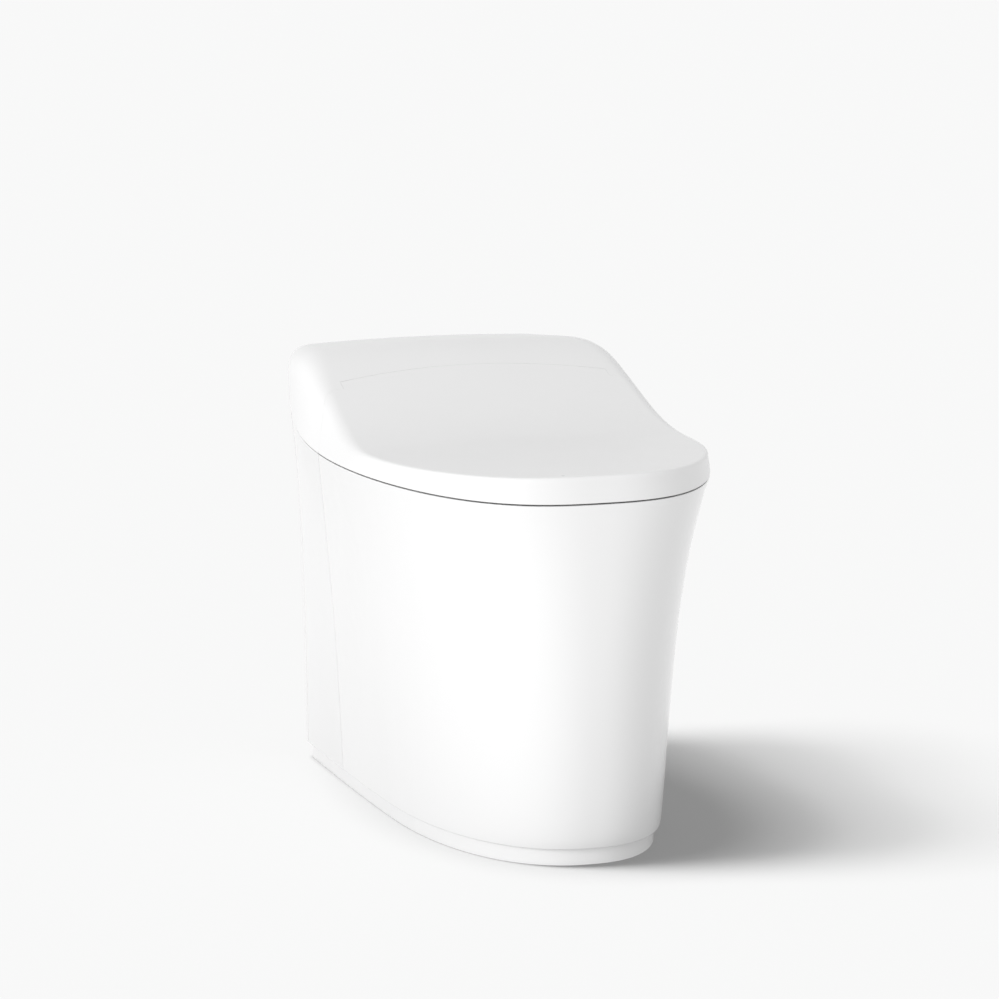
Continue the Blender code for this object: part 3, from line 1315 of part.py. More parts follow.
def push_buttons(buttons, mat, switch_mat):
    for name, (centre, outward, depth) in zip(("button_flush", "button_wash"), buttons):
        button = cylinder(
            name, BUTTON_RADIUS, centre - outward * BUTTON_LENGTH, centre + outward * BUTTON_PROUD, mat
        )
        stop = centre - outward * (depth + SEAT_GAP)
        flange = cylinder("flange", BUTTON_FLANGE_RADIUS, stop - outward * BUTTON_FLANGE, stop, collection=CUTTERS)
        combine(button, flange, "UNION")
        smooth(button)
        set_origin(button, centre)
    button_switch(buttons, switch_mat)


def button_switch(buttons, mat):
    """The switch block that both buttons press against, beside the control box."""
    inner_x = CONTROL_CENTRE[0] + CONTROL_SIZE[0] / 2 + SEAT_GAP
    reach = BUTTON_LENGTH + BUTTON_TRAVEL + SEAT_GAP
    (first, _, _), (last, _, _) = buttons
    y_low = first.y - BUTTON_RADIUS
    y_high = last.y + BUTTON_RADIUS
    top = max(first.z, last.z) + BUTTON_RADIUS / 2
    block = fitted_box(
        "button_switch", inner_x, WIDTH / 2, y_low, y_high, on_chassis_floor, lambda _: top, mat
    )
    for centre, way, _ in buttons:
        face = centre - way * reach
        trim = cylinder("trim", WIDTH / 4, face, face + way * WIDTH / 4, collection=CUTTERS)
        combine(block, trim, "DIFFERENCE")
    smooth(block)


def boxes_on_chassis(heater_mat, control_mat):
    rounded(standing_box("heater_tank", HEATER_SIZE, HEATER_CENTRE, heater_mat), BOX_ROUNDING)
    rounded(standing_box("control_box", CONTROL_SIZE, CONTROL_CENTRE, control_mat), BOX_ROUNDING / 2)


def power_gland(mat):
    place = gland_place()
    back = Vector((0, 1, 0))
    outer = place - back * SEAT_GAP
    gland = cylinder("power_gland", GLAND_RADIUS, outer - back * GLAND_LENGTH, outer, mat)
    flange_far = place - back * (SKIN + SEAT_GAP * 2)
    flange = cylinder("flange", GLAND_FLANGE_RADIUS, flange_far - back * GLAND_FLANGE, flange_far, collection=CUTTERS)
    combine(gland, flange, "UNION")
    bore = cylinder(
        "bore", GLAND_BORE, outer - back * (GLAND_LENGTH + OVERRUN), outer + back * OVERRUN, collection=CUTTERS
    )
    combine(gland, bore, "DIFFERENCE")
    smooth(gland)


# Pieces behind the side panels

def rear_wall_inner():
    return REAR_Y - WALL


def under_deck(y):
    return tilted(seam_height(0) - RIM_DROP - DECK_THICKNESS, y)


def flush_parts(tank_mat, pump_mat):
    rear = rear_wall_inner() - SEAT_GAP
    bottom = fitting_height() + VALVE_SIZE[2] / 2 + RESERVOIR_OVER_VALVE
    tank = fitted_box(
        "flush_reservoir", -RESERVOIR_HALF_WIDTH, RESERVOIR_HALF_WIDTH, rear - RESERVOIR_DEPTH, rear,
        lambda _: bottom, lambda y: under_deck(y) - RESERVOIR_DROP, tank_mat,
    )
    rounded(tank, BOX_ROUNDING)
    pump_y = rear - PUMP_RADIUS - BOX_ROUNDING
    pump_top = Vector((PUMP_X, pump_y, bottom - SEAT_GAP))
    pump_low = pump_top - Vector((0, 0, PUMP_LENGTH))
    cylinder("flush_pump", PUMP_RADIUS, pump_low, pump_top, pump_mat, sides=ROUND_SIDES)


def water_inlet(valve_mat, fitting_mat):
    inner = rear_wall_inner() - SEAT_GAP
    height = fitting_height()
    back = Vector((0, 1, 0))
    centre = Vector((VALVE_X, inner, height))
    hex_end = centre - back * FITTING_HEX_LENGTH
    fitting = cylinder("inlet_fitting", FITTING_RADIUS, hex_end, centre + back * (WALL - SEAT_GAP), fitting_mat)
    nut = cylinder("nut", FITTING_HEX_RADIUS, hex_end, centre, collection=CUTTERS, sides=6)
    combine(fitting, nut, "UNION")
    bore = cylinder(
        "bore", FITTING_BORE, hex_end - back * OVERRUN, centre + back * (WALL + OVERRUN), collection=CUTTERS
    )
    combine(fitting, bore, "DIFFERENCE")
    smooth(fitting)
    front = hex_end.y - SEAT_GAP
    half_x = VALVE_SIZE[0] / 2
    half_z = VALVE_SIZE[2] / 2
    valve = box(
        "inlet_valve", (VALVE_X - half_x, front - VALVE_SIZE[1], height - half_z),
        (VALVE_X + half_x, front, height + half_z), valve_mat,
    )
    rounded(valve, BOX_ROUNDING / 2)


def floor_brackets(mat, screw_mat):
    outline = body_plan(0.0, WALL + PLINTH_INSET)
    width, length, height = BRACKET_SIZE
    rear_edge = BRACKET_Y + length / 2
    outer = half_width_at(rear_edge, outline) - SEAT_GAP
    up = Vector((0, 0, 1))
    for side_name, side in (("left", -1), ("right", 1)):
        foot_low, foot_high = sorted((side * (outer - width), side * outer))
        bracket = box(
            "floor_bracket_" + side_name, (foot_low, BRACKET_Y - length / 2, 0.0),
            (foot_high, rear_edge, BRACKET_THICKNESS), mat,
        )
        ear_low, ear_high = sorted((side * (outer - BRACKET_THICKNESS), side * outer))
        ear = box("ear", (ear_low, BRACKET_Y - length / 2, 0.0), (ear_high, rear_edge, height), collection=CUTTERS)
        combine(bracket, ear, "UNION")
        foot = Vector((side * (outer - (width + BRACKET_THICKNESS) / 2), BRACKET_Y, 0.0))
        hole = cylinder("hole", SCREW_RADIUS + SCREW_GAP, foot - up * OVERRUN, foot + up * OVERRUN, collection=CUTTERS)
        combine(bracket, hole, "DIFFERENCE")
        screw("bracket_screw_" + side_name, foot + up * BRACKET_THICKNESS, foot, screw_mat)


def screw(name, seat, tip, mat):
    """A screw whose head stands on a seat."""
    up = Vector((0, 0, 1))
    low = Vector(seat) + up * SEAT_GAP
    head = cylinder(name, SCREW_HEAD_RADIUS, low, low + up * SCREW_HEAD, mat)
    shank = cylinder("shank", SCREW_RADIUS, tip, low + up * SCREW_HEAD / 2, collection=CUTTERS)
    combine(head, shank, "UNION")
    smooth(head)


def chassis_screw_places():
    return (("left", -CHASSIS_SCREW_X), ("right", CHASSIS_SCREW_X))


def chassis_screws(mat):
    for side_name, x in chassis_screw_places():
        seat = (x, CHASSIS_SCREW_Y, chassis_floor_top(CHASSIS_SCREW_Y + SCREW_HEAD_RADIUS))
        tip = (x, CHASSIS_SCREW_Y, deck_height(CHASSIS_SCREW_Y) - CHASSIS_SCREW_DEPTH)
        screw("chassis_screw_" + side_name, seat, tip, mat)


def screw_holes(target, margin):
    """Holes for both chassis screws, a little wider and deeper than their shanks."""
    up = Vector((0, 0, 1))
    for _, x in chassis_screw_places():
        tip = Vector((x, CHASSIS_SCREW_Y, deck_height(CHASSIS_SCREW_Y) - CHASSIS_SCREW_DEPTH))
        top = tip + up * (CHASSIS_SCREW_DEPTH + OVERRUN)
        hole = cylinder("hole", SCREW_RADIUS + margin, tip - up * SCREW_GAP, top, collection=CUTTERS)
        combine(target, hole, "DIFFERENCE")


def main():
    ceramic = material("glazed_ceramic", WHITE_CERAMIC, 0.12)
    plastic = material("white_plastic", WHITE_PLASTIC, 0.22)
    seat_plastic = material("seat_plastic", WHITE_PLASTIC, 0.25)
    grey = material("grey_plastic", GREY_PLASTIC, 0.45)
    dark = material("dark_plastic", DARK_PLASTIC, 0.5)
    steel = material("steel", STEEL, 0.25, 1.0)
    rubber = material("rubber", RUBBER, 0.8)
    brass = material("brass", BRASS, 0.3, 1.0)

    ceramic_body(ceramic)
    outlet_seal(rubber)
    side_panel("left", True, plastic)
    side_panel("right", False, plastic)
    BUTTON_FRAMES.extend(rear_cover(plastic))
    lid_piece(plastic)
    lid_bumpers(rubber)
    seat_piece(seat_plastic)
    seat_bumpers(rubber)
    unit_chassis(grey)
    hinge_shaft(steel, dark)
    nozzle_housing(grey)
    nozzle_wand(steel, plastic)
    boxes_on_chassis(grey, dark)
    fan_unit(dark, grey)
    filter_cartridge(grey, dark)
    push_buttons(BUTTON_FRAMES, plastic, dark)
    power_gland(dark)
    chassis_screws(steel)
    flush_parts(grey, dark)
    water_inlet(dark, brass)
    floor_brackets(steel, steel)


main()
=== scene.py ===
"""Looks of a one-piece smart toilet: its visible pieces, finishes, floor, lamps and camera."""

import json
import math

import bpy
from bpy.props import FloatProperty, FloatVectorProperty, PointerProperty
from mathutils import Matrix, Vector


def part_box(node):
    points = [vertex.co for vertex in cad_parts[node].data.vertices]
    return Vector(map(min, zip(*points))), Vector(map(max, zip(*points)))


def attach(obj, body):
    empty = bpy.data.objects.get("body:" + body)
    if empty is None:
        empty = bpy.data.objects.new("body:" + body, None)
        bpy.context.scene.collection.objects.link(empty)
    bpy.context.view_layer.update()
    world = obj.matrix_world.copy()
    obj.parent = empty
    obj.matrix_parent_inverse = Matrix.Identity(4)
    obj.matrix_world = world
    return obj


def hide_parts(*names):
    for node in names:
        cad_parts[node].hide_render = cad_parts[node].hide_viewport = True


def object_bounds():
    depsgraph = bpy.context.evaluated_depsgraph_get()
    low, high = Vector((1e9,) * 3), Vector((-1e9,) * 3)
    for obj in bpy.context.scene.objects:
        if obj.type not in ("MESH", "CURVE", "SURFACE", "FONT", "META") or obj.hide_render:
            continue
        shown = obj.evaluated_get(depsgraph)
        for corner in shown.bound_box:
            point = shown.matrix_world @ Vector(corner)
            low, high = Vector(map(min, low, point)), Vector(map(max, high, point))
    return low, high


bl_info = {
    "name": "Smart toilet",
    "version": (1, 0, 0),
    "blender": (4, 5, 0),
    "location": "View3D > Sidebar > Toilet",
    "description": "Models the visible pieces of a one-piece smart toilet over its packed solids",
    "category": "Add Mesh",
}

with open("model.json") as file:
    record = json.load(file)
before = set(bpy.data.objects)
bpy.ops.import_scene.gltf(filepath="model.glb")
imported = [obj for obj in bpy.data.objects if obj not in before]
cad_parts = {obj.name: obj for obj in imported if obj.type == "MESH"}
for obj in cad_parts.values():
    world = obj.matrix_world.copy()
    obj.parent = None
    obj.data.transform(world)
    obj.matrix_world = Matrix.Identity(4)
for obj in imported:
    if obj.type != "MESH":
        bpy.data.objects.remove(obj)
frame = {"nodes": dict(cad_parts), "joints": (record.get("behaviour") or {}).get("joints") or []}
CAD_BOX = [list(corner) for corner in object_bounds()]
LENGTH = CAD_BOX[1][1] - CAD_BOX[0][1]
WIDTH = CAD_BOX[1][0] - CAD_BOX[0][0]
HEIGHT = 0.5215
FRONT_Y = -LENGTH / 2
REAR_Y = LENGTH / 2

# Plan of the body
WIDEST_Y = -0.004
REAR_NARROWING = 0.056
FOOT_NARROWING = 0.008
REAR_CORNER = 0.0175
LEAST_CORNER = 0.002
SIDE_POWER = 2.70
NOSE_POWER = 1.86
FOOT_SIDE_POWER = 2.29
FOOT_NOSE_POWER = 2.30
FOOT_HALF_WIDTH = 0.1465
FOOT_FRONT_SETBACK = 0.028
SIDE_FLARE_SHARE = 0.606
SIDE_FLARE_POWER = 4
FRONT_RAKE_POWER = 0.45

# Levels
SEAM_FRONT_HEIGHT = 0.412
SEAM_REAR_HEIGHT = 0.430
COVER_LIFT = 0.00075
PANEL_DROP = 0.00075
PLINTH_HEIGHT = 0.020
PLINTH_INSET = 0.007
WALL = 0.012
BOWL_WALL = 0.010
DECK_THICKNESS = 0.048
PLINTH_EDGE = 0.0004
SKIRT_EDGE = 0.0015
RIM_EDGE = 0.0012
BOWL_LIP = 0.010
SUMP_ROUNDING = 0.012

# Top surface of lid and cover
LID_TOP = 0.443
S_CURVE_START_Y = -0.1175
S_CURVE_LENGTH = 0.176
CREST_START_Y = 0.119
CREST_LENGTH = 0.1075
CREST_SHARE = 0.71
CREST_Y = CREST_START_Y + CREST_LENGTH * CREST_SHARE
FRONT_CROWN = 0.003
REAR_CROWN = 0.0065
CROWN_GROWTH_LENGTH = 0.300
CROWN_HALF_WIDTH = 0.190
BAND_LEAN = 0.003
SHOULDER_LEAN = 0.0175
SHOULDER_Y = 0.024
SHOULDER_REACH = 0.230
REAR_FLARE = 0.0079
REAR_RADIUS = 0.034
REAR_RADIUS_GROWTH = 0.200
EDGE_LIMIT_SHARE = 0.7
LOWER_EDGE = 0.0008
SKIN = 0.003

# Split between lid and cover
SPLIT_Y = 0.1185
SPLIT_BOW = 0.0165
SPLIT_STEP_X = 0.163
SPLIT_STEP_FRONT_Y = 0.0880
SPLIT_SIDE_X = 0.187
SPLIT_SIDE_Y = 0.0810
SPLIT_SEAM_Y = 0.026
BARREL_CLEARANCE = 0.0001
HINGE_Y = 0.0982
HINGE_DEPTH = 0.0105
SHAFT_RADIUS = 0.0025
RUNNING_GAP = 0.0003
LID_KNUCKLE_RADIUS = 0.0065
LID_KNUCKLE_REACH = (0.055, 0.088)
SEAT_KNUCKLE_RADIUS = 0.0055
SEAT_KNUCKLE_REACH = (0.020, 0.050)
KNUCKLE_EDGE = 0.0006
KNUCKLE_WEB_SHARE = 0.7

# Side panels
PANEL_JOINT_Y = 0.157
PANEL_JOINT_SWEEP = 0.131
PANEL_JOINT_START = 0.20
PANEL_REAR_LIP = 0.005
PANEL_FOOT = PLINTH_HEIGHT + 0.00075
PANEL_JOINT_STEP = 0.010
FOOT_SLOT_DEPTH = 0.0125
FOOT_SLOT_HEIGHTS = (0.0158, 0.0214)
# The near-black strips under the side panels are painted shade in the foot slot
FOOT_SHADE_STRIP_HEIGHTS = (0.0162, 0.0205)
FOOT_SHADE_STRIP_INSET = 0.0078
FOOT_SHADE_STRIP_DEPTH = 0.0122

# Bowl
BOWL_CENTRE_Y = -0.145
BOWL_HALF_LENGTH = 0.144
BOWL_HALF_WIDTH = 0.122
BOWL_DEPTH = 0.205
BOWL_POWER = 2.15
BOWL_SIDES = 160
SUMP_CENTRE_Y = -0.085
SUMP_HALF_LENGTH = 0.046
SUMP_HALF_WIDTH = 0.040
NOTCH_HALF_WIDTH = 0.014
NOTCH_DEPTH = 0.037
NOTCH_REAR_Y = 0.104
TRAP_BORE = 0.055
TRAP_DIP = 0.036
TRAP_WEIR_Y = 0.055
TRAP_WEIR_RISE = 0.020
TRAP_START_LIFT_SHARE = 0.6
TRAP_DIP_SHARE = 0.42
TRAP_FALL_SHARES = (0.85, 0.90)
TRAP_BEND_SHARES = (0.62, 0.42)
OUTLET_Y = 0.035
SEAL_HEIGHT = 0.012
TRAP_END_SHARE = 3
FITTING_HOLE_RADIUS = 0.0109
SCREW_HOLE_RADIUS = 0.0039

# Seat ring
SEAT_INSET = 0.019
SEAT_LIFT = 0.0005
SEAT_THICKNESS = 0.0125
SEAT_REAR_Y = 0.045
SEAT_ARM_FOOT_Y = 0.034
SEAT_ARM_THICKNESS = 0.008
SEAT_EDGE = 0.0045
SEAT_CROWN = 0.0008
SEAT_CORNER = 0.018
SEAT_HOLE_CENTRE_Y = -0.150
SEAT_HOLE_HALF_LENGTH = 0.128
SEAT_HOLE_HALF_WIDTH = 0.106

# Bumpers, push buttons and the openings for the fittings
BUTTON_BODIES = {"button_flush": "flush_button", "button_wash": "wash_button"}
BUTTON_GAP = 0.0004
BUTTON_CAP_DEPTH = 0.010
BUTTON_CAP_EDGE = 0.0006
BUTTON_FACE_DEPTH = 0.0002
FILTER_SLOT_MARGIN = 0.0006
GLAND_HOLE_RADIUS = 0.0079
LID_PAD_EDGE = 0.0012
SEAT_PAD_INSET = 0.0002
SEAT_PAD_EDGE = 0.0005

# Points round the outline: back, corner, side, nose, all for one half
BACK_STEPS = 10
CORNER_STEPS = 8
SIDE_STEPS = 36
NOSE_STEPS = 72
SKIRT_LEVELS = 40
SKIRT_EASE_SHARE = 0.35
BOWL_LEVELS = 26
HOLLOW_LEVELS = 4
BARREL_SIDES = 96
BOWL_SPREAD_POWER = 2.1
SEAT_SIDES = 220
OVERRUN = 0.010
BORE_OVERRUN = 0.0025
WEB_SINK = 0.001
MERGE_DISTANCE = 0.00001
PARALLEL_LIMIT = 1e-12
EDGE_TOLERANCE_SHARE = 1e-9
BAR_SIDES = 48
BUTTON_SIDES = 64
PAD_SIDES = 40

# Grain of the finishes
FINE_GRAIN = 1800.0
GRAIN_DETAIL = 2.0
TINT_POSITIONS = (0.3, 0.7)
GLAZE_ROUGHNESS = 0.16
GLAZE_IOR = 1.5
GLAZE_COAT = 0.25
GLAZE_COAT_ROUGHNESS = 0.05
GLAZE_WAVES = (14.0, 1.0)
GLAZE_BUMP = (0.05, 0.002)
GLAZE_CLOUD = (5.0, 3.0)
GLAZE_TINT = (1.004, 0.994)
GLAZE_GRAIN = (60.0, 2.0)
PLASTIC_GLOSS = 0.35
PLASTIC_BUMP = (0.06, 0.0002)
PLASTIC_CLOUD = (7.0, 3.0)
PLASTIC_TINT = (1.004, 0.992)
PLASTIC_PATCHES = (35.0, 2.0)
BRUSH_SCALE = 400.0
BRUSH_STRETCH = (1.0, 8.0, 8.0)
BRUSH_BUMP = (0.08, 0.0001)
BRUSH_TINT = (1.03, 0.94)

# Floor, lamps and camera
FLOOR_SIZE = 40
VIEW_AZIMUTH = math.radians(-18.74)
VIEW_ELEVATION = math.radians(9.726)
VIEW_DISTANCE = 6.0
VIEW_TARGET = Vector((-0.1124, -0.3225, 0.4204))
VIEW_LENS = 198.59
VIEW_SENSOR = 36.0
VIEW_CLIP = 100.0
KEY_WAY = (math.radians(-60), math.radians(13))
KEY_STRENGTH = 1.7
KEY_SPREAD = math.radians(40)
FLOOR_LIGHT_AZIMUTH = math.radians(-102)
FLOOR_LIGHT_ELEVATIONS = [math.radians(angle) for angle in (52, 65, 78)]
FLOOR_LIGHT_STRENGTH = 5.2
FLOOR_LIGHT_SPREAD = math.radians(20)
AMBIENT = 0.68
FLOOR_SHADE = 0.15
FLOOR_GLOW = 0.185
# The floor glows to light the object as painted bounce light, dimmer near the toilet as painted shade
BOUNCE_REACH = (0.30, 0.75)
BOUNCE_STRENGTH = (0.50, 0.85)


def length(name, description, default):
    return FloatProperty(name=name, description=description, default=default, unit="LENGTH")


def colour(name, description, level):
    return FloatVectorProperty(
        name=name, description=description, default=(level, level, level),
        subtype="COLOR", size=3, min=0, max=1,
    )


class ToiletSizes(bpy.types.PropertyGroup):
    """Sizes that shape the visible gaps and edges."""

    rim_drop: length("Rim drop", "How far the ceramic rim lies under the seam", 0.0008)
    lid_lift: length("Lid lift", "How far the closed lid's edge lies over the seam", 0.0010)
    split_gap: length("Split gap", "Gap between the lid and the rear cover", 0.0002)
    panel_gap: length("Panel gap", "Gap round each side panel", 0.0008)
    crease_radius: length("Crease radius", "Rounding of the lid's top edge at the front", 0.0042)
    shoulder_radius: length("Shoulder radius", "Rounding of the top edge beside the hinge", 0.012)


class ToiletColours(bpy.types.PropertyGroup):
    """Base colours of the finishes."""

    glaze: colour("Glaze", "Colour of the glazed ceramic", 0.90)
    plastic: colour("Plastic", "Colour of lid, cover and panels", 0.88)
    floor: colour("Floor", "Colour of floor and backdrop", 0.946)


def sizes():
    return bpy.context.scene.toilet_sizes


def colours():
    return bpy.context.scene.toilet_colours


def mix(low, high, share):
    return low + (high - low) * share


def smoothstep(value):
    value = min(max(value, 0.0), 1.0)
    return value * value * (3 - 2 * value)


def seam_height(y):
    return mix(SEAM_FRONT_HEIGHT, SEAM_REAR_HEIGHT, (y - FRONT_Y) / LENGTH)


# Outlines in plan

def plan(half_width, front_y, side_power, nose_power, narrowing, inset):
    """Closed outline from the back's middle, down the +X side, round the nose and back."""
    rear_half = half_width - narrowing
    back_y = REAR_Y - inset(REAR_Y)
    radius = max(REAR_CORNER - inset(REAR_Y), LEAST_CORNER)
    side_rear_y = REAR_Y - REAR_CORNER
    side = []
    for step in range(SIDE_STEPS):
        y = mix(back_y - radius, WIDEST_Y, step / SIDE_STEPS)
        turn = math.pi / 2 * (side_rear_y - y) / (side_rear_y - WIDEST_Y)
        side.append((rear_half + narrowing * math.sin(turn), y))
    for step in range(NOSE_STEPS + 1):
        turn = math.pi / 2 * step / NOSE_STEPS
        x = half_width * max(math.cos(turn), 0.0) ** (2 / side_power)
        y = WIDEST_Y - (WIDEST_Y - front_y) * math.sin(turn) ** (2 / nose_power)
        side.append((x, y))
    side[-1] = (0.0, front_y)
    side = [moved_in(side, index, inset) for index in range(len(side))]
    corner_x = side[0][0] - radius
    half = [(corner_x * step / BACK_STEPS, back_y) for step in range(BACK_STEPS)]
    for step in range(CORNER_STEPS + 1):
        turn = math.pi / 2 * step / CORNER_STEPS
        half.append((corner_x + radius * math.sin(turn), back_y - radius + radius * math.cos(turn)))
    half += side[1:]
    return half + [(-x, y) for x, y in reversed(half[1:-1])]


def moved_in(side, index, inset):
    """A point of the side moved towards the inside, square to its neighbours."""
    x, y = side[index]
    if index == len(side) - 1:
        return (0.0, y + inset(y))
    before = Vector(side[max(index - 1, 0)])
    after = Vector(side[index + 1])
    tangent = (after - before).normalized()
    return (x + tangent.y * inset(y), y - tangent.x * inset(y))


def body_plan(height, inset=0.0):
    climb = min(max((height - PLINTH_HEIGHT) / (seam_height(0) - PLINTH_HEIGHT), 0.0), 1.0)
    flare = (1 - SIDE_FLARE_SHARE) * climb + SIDE_FLARE_SHARE * climb ** SIDE_FLARE_POWER
    return plan(
        mix(FOOT_HALF_WIDTH, WIDTH / 2, flare),
        FRONT_Y + FOOT_FRONT_SETBACK * (1 - climb ** FRONT_RAKE_POWER),
        mix(FOOT_SIDE_POWER, SIDE_POWER, flare),
        mix(FOOT_NOSE_POWER, NOSE_POWER, flare),
        mix(FOOT_NARROWING, REAR_NARROWING, flare),
        inset if callable(inset) else lambda y: inset,
    )


def seam_plan(inset=0.0):
    return body_plan(seam_height(0), inset)


def tilted(height, y):
    return height + (seam_height(y) - seam_height(0)) * height / seam_height(0)


def level_row(outline, height):
    return [(x, y, tilted(height, y)) for x, y in outline]


def pole(row):
    """A row of the same length with all its points in the middle."""
    height = sum(point[2] for point in row) / len(row)
    y = sum(point[1] for point in row) / len(row)
    return [(0.0, y, height)] * len(row)


def rim_height():
    return seam_height(0) - sizes().rim_drop


def ellipse(centre_y, half_width, half_length, count):
    """A slightly squared ellipse in plan."""
    points = []
    for index in range(count):
        turn = 2 * math.pi * index / count
        x = math.copysign(abs(math.sin(turn)) ** (2 / BOWL_POWER), math.sin(turn))
        y = math.copysign(abs(math.cos(turn)) ** (2 / BOWL_POWER), math.cos(turn))
        points.append((half_width * x, centre_y + half_length * y))
    return points


# Modelling helpers

def only(obj):
    """Leave one object selected and active."""
    bpy.ops.object.select_all(action="DESELECT")
    obj.select_set(True)
    bpy.context.view_layer.objects.active = obj


def settle(obj, name):
    """Bring an object's place into its mesh and name it."""
    only(obj)
    obj.name = name
    obj.data.name = name
    bpy.ops.object.transform_apply(location=True, rotation=True, scale=True)
    return obj


def laid_grid(name, rows):
    """A grid primitive laid along rows of points that are closed loops."""
    columns = len(rows[0])
    bpy.ops.object.select_all(action="DESELECT")
    bpy.ops.mesh.primitive_grid_add(x_subdivisions=columns, y_subdivisions=len(rows) - 1, size=1)
    obj = bpy.context.active_object
    for vertex in obj.data.vertices:
        column = round((vertex.co.x + 0.5) * columns)
        row = round((vertex.co.y + 0.5) * (len(rows) - 1))
        vertex.co = rows[row][column % columns]
    only(obj)
    bpy.ops.object.mode_set(mode="EDIT")
    bpy.ops.mesh.select_all(action="SELECT")
    bpy.ops.mesh.remove_doubles(threshold=MERGE_DISTANCE)
    bpy.ops.mesh.normals_make_consistent(inside=False)
    bpy.ops.object.mode_set(mode="OBJECT")
    return settle(obj, name)


def pole_of(row):
    count = len(row)
    centre = tuple(sum(point[axis] for point in row) / count for axis in range(3))
    return [centre] * count


def closed_grid(name, rows):
    """A grid laid along rows of points, its first and last row drawn together in their middles."""
    return laid_grid(name, [pole_of(rows[0])] + rows + [pole_of(rows[-1])])


def capped_grid(name, rows):
    """A grid laid along rows of points, each open end closed with one face."""
    obj = laid_grid(name, rows)
    only(obj)
    bpy.ops.object.mode_set(mode="EDIT")
    bpy.ops.mesh.select_all(action="DESELECT")
    bpy.ops.mesh.select_mode(type="EDGE")
    bpy.ops.mesh.select_non_manifold()
    bpy.ops.mesh.edge_face_add()
    bpy.ops.mesh.select_all(action="SELECT")
    bpy.ops.mesh.normals_make_consistent(inside=False)
    bpy.ops.mesh.select_mode(type="VERT")
    bpy.ops.object.mode_set(mode="OBJECT")
    return obj


def bar(name, radius, start, end, sides=BAR_SIDES, rounding=0.0):
    """A round bar between two points, its end edges rounded."""
    start = Vector(start)
    axis = Vector(end) - start
    turn = Vector((0, 0, 1)).rotation_difference(axis).to_euler()
    bpy.ops.object.select_all(action="DESELECT")
    bpy.ops.mesh.primitive_cylinder_add(
        vertices=sides, radius=radius, depth=axis.length, location=start + axis / 2, rotation=turn
    )
    obj = settle(bpy.context.active_object, name)
    if rounding:
        round_edges(obj, rounding)
    return obj


def block(name, low, high, rounding=0.0):
    """A box between two corners, its edges rounded."""
    low = Vector(low)
    high = Vector(high)
    bpy.ops.object.select_all(action="DESELECT")
    bpy.ops.mesh.primitive_cube_add(size=1, location=(low + high) / 2, scale=high - low)
    obj = settle(bpy.context.active_object, name)
    if rounding:
        round_edges(obj, rounding)
    return obj


def round_edges(obj, radius, segments=3, angle=math.radians(40)):
    only(obj)
    bpy.ops.object.modifier_add(type="BEVEL")
    bevel = obj.modifiers[-1]
    bevel.width = radius
    bevel.segments = segments
    bevel.limit_method = "ANGLE"
    bevel.angle_limit = angle
    bpy.ops.object.modifier_apply(modifier=bevel.name)


def carve(obj, tool, operation):
    """Cut, join or keep the common part of two solids, and drop the tool."""
    only(obj)
    bpy.ops.object.modifier_add(type="BOOLEAN")
    boolean = obj.modifiers[-1]
    boolean.operation = operation
    boolean.solver = "EXACT"
    boolean.object = tool
    bpy.ops.object.modifier_apply(modifier=boolean.name)
    bpy.data.objects.remove(tool, do_unlink=True)
    return obj


def finish_piece(obj, body, material, nodes=(), angle=math.radians(30)):
    """Smooth a finished piece, dress it and hang it on its body."""
    only(obj)
    bpy.ops.object.mode_set(mode="EDIT")
    bpy.ops.mesh.select_all(action="SELECT")
    bpy.ops.mesh.remove_doubles(threshold=MERGE_DISTANCE)
    bpy.ops.mesh.dissolve_degenerate(threshold=MERGE_DISTANCE)
    bpy.ops.object.mode_set(mode="OBJECT")
    bpy.ops.object.shade_smooth_by_angle(angle=angle)
    bpy.ops.object.modifier_add(type="WEIGHTED_NORMAL")
    weighted = obj.modifiers[-1]
    weighted.keep_sharp = True
    bpy.ops.object.modifier_apply(modifier=weighted.name)
    obj.data.materials.clear()
    obj.data.materials.append(material)
    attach(obj, body)
    if nodes:
        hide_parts(*nodes)
    return obj


def prism(name, outline, x_low, x_high):
    """A closed outline of (y, z) points drawn out along X."""
    rows = [[(x, y, z) for y, z in outline] for x in (x_low, x_high)]
    return closed_grid(name, rows)


# Finishes

def new_node(tree, kind, **values):
    """A shader node with some of its inputs set, each by its name."""
    node = tree.nodes.new("ShaderNode" + kind)
    for name, value in values.items():
        node.inputs[name.replace("_", " ")].default_value = value
    return node


def new_material(name, colour, roughness, metallic=0.0):
    material = bpy.data.materials.get(name) or bpy.data.materials.new(name)
    material.use_nodes = True
    tree = material.node_tree
    tree.nodes.clear()
    output = new_node(tree, "OutputMaterial")
    shader = new_node(tree, "BsdfPrincipled", Roughness=roughness, Metallic=metallic)
    shader.inputs["Base Color"].default_value = (*colour, 1.0)
    tree.links.new(shader.outputs["BSDF"], output.inputs["Surface"])
    return material, tree, shader


def add_noise(tree, scale, detail):
    place = new_node(tree, "TexCoord")
    noise = new_node(tree, "TexNoise", Scale=scale, Detail=detail)
    tree.links.new(place.outputs["Object"], noise.inputs["Vector"])
    return noise


def add_bump(tree, shader, noise, strength, distance):
    bump = new_node(tree, "Bump", Strength=strength, Distance=distance)
    tree.links.new(noise.outputs["Fac"], bump.inputs["Height"])
    tree.links.new(bump.outputs["Normal"], shader.inputs["Normal"])


def vary_roughness(tree, noise, shader, low, high):
    ramp = new_node(tree, "MapRange", To_Min=low, To_Max=high)
    tree.links.new(noise.outputs["Fac"], ramp.inputs["Value"])
    tree.links.new(ramp.outputs["Result"], shader.inputs["Roughness"])


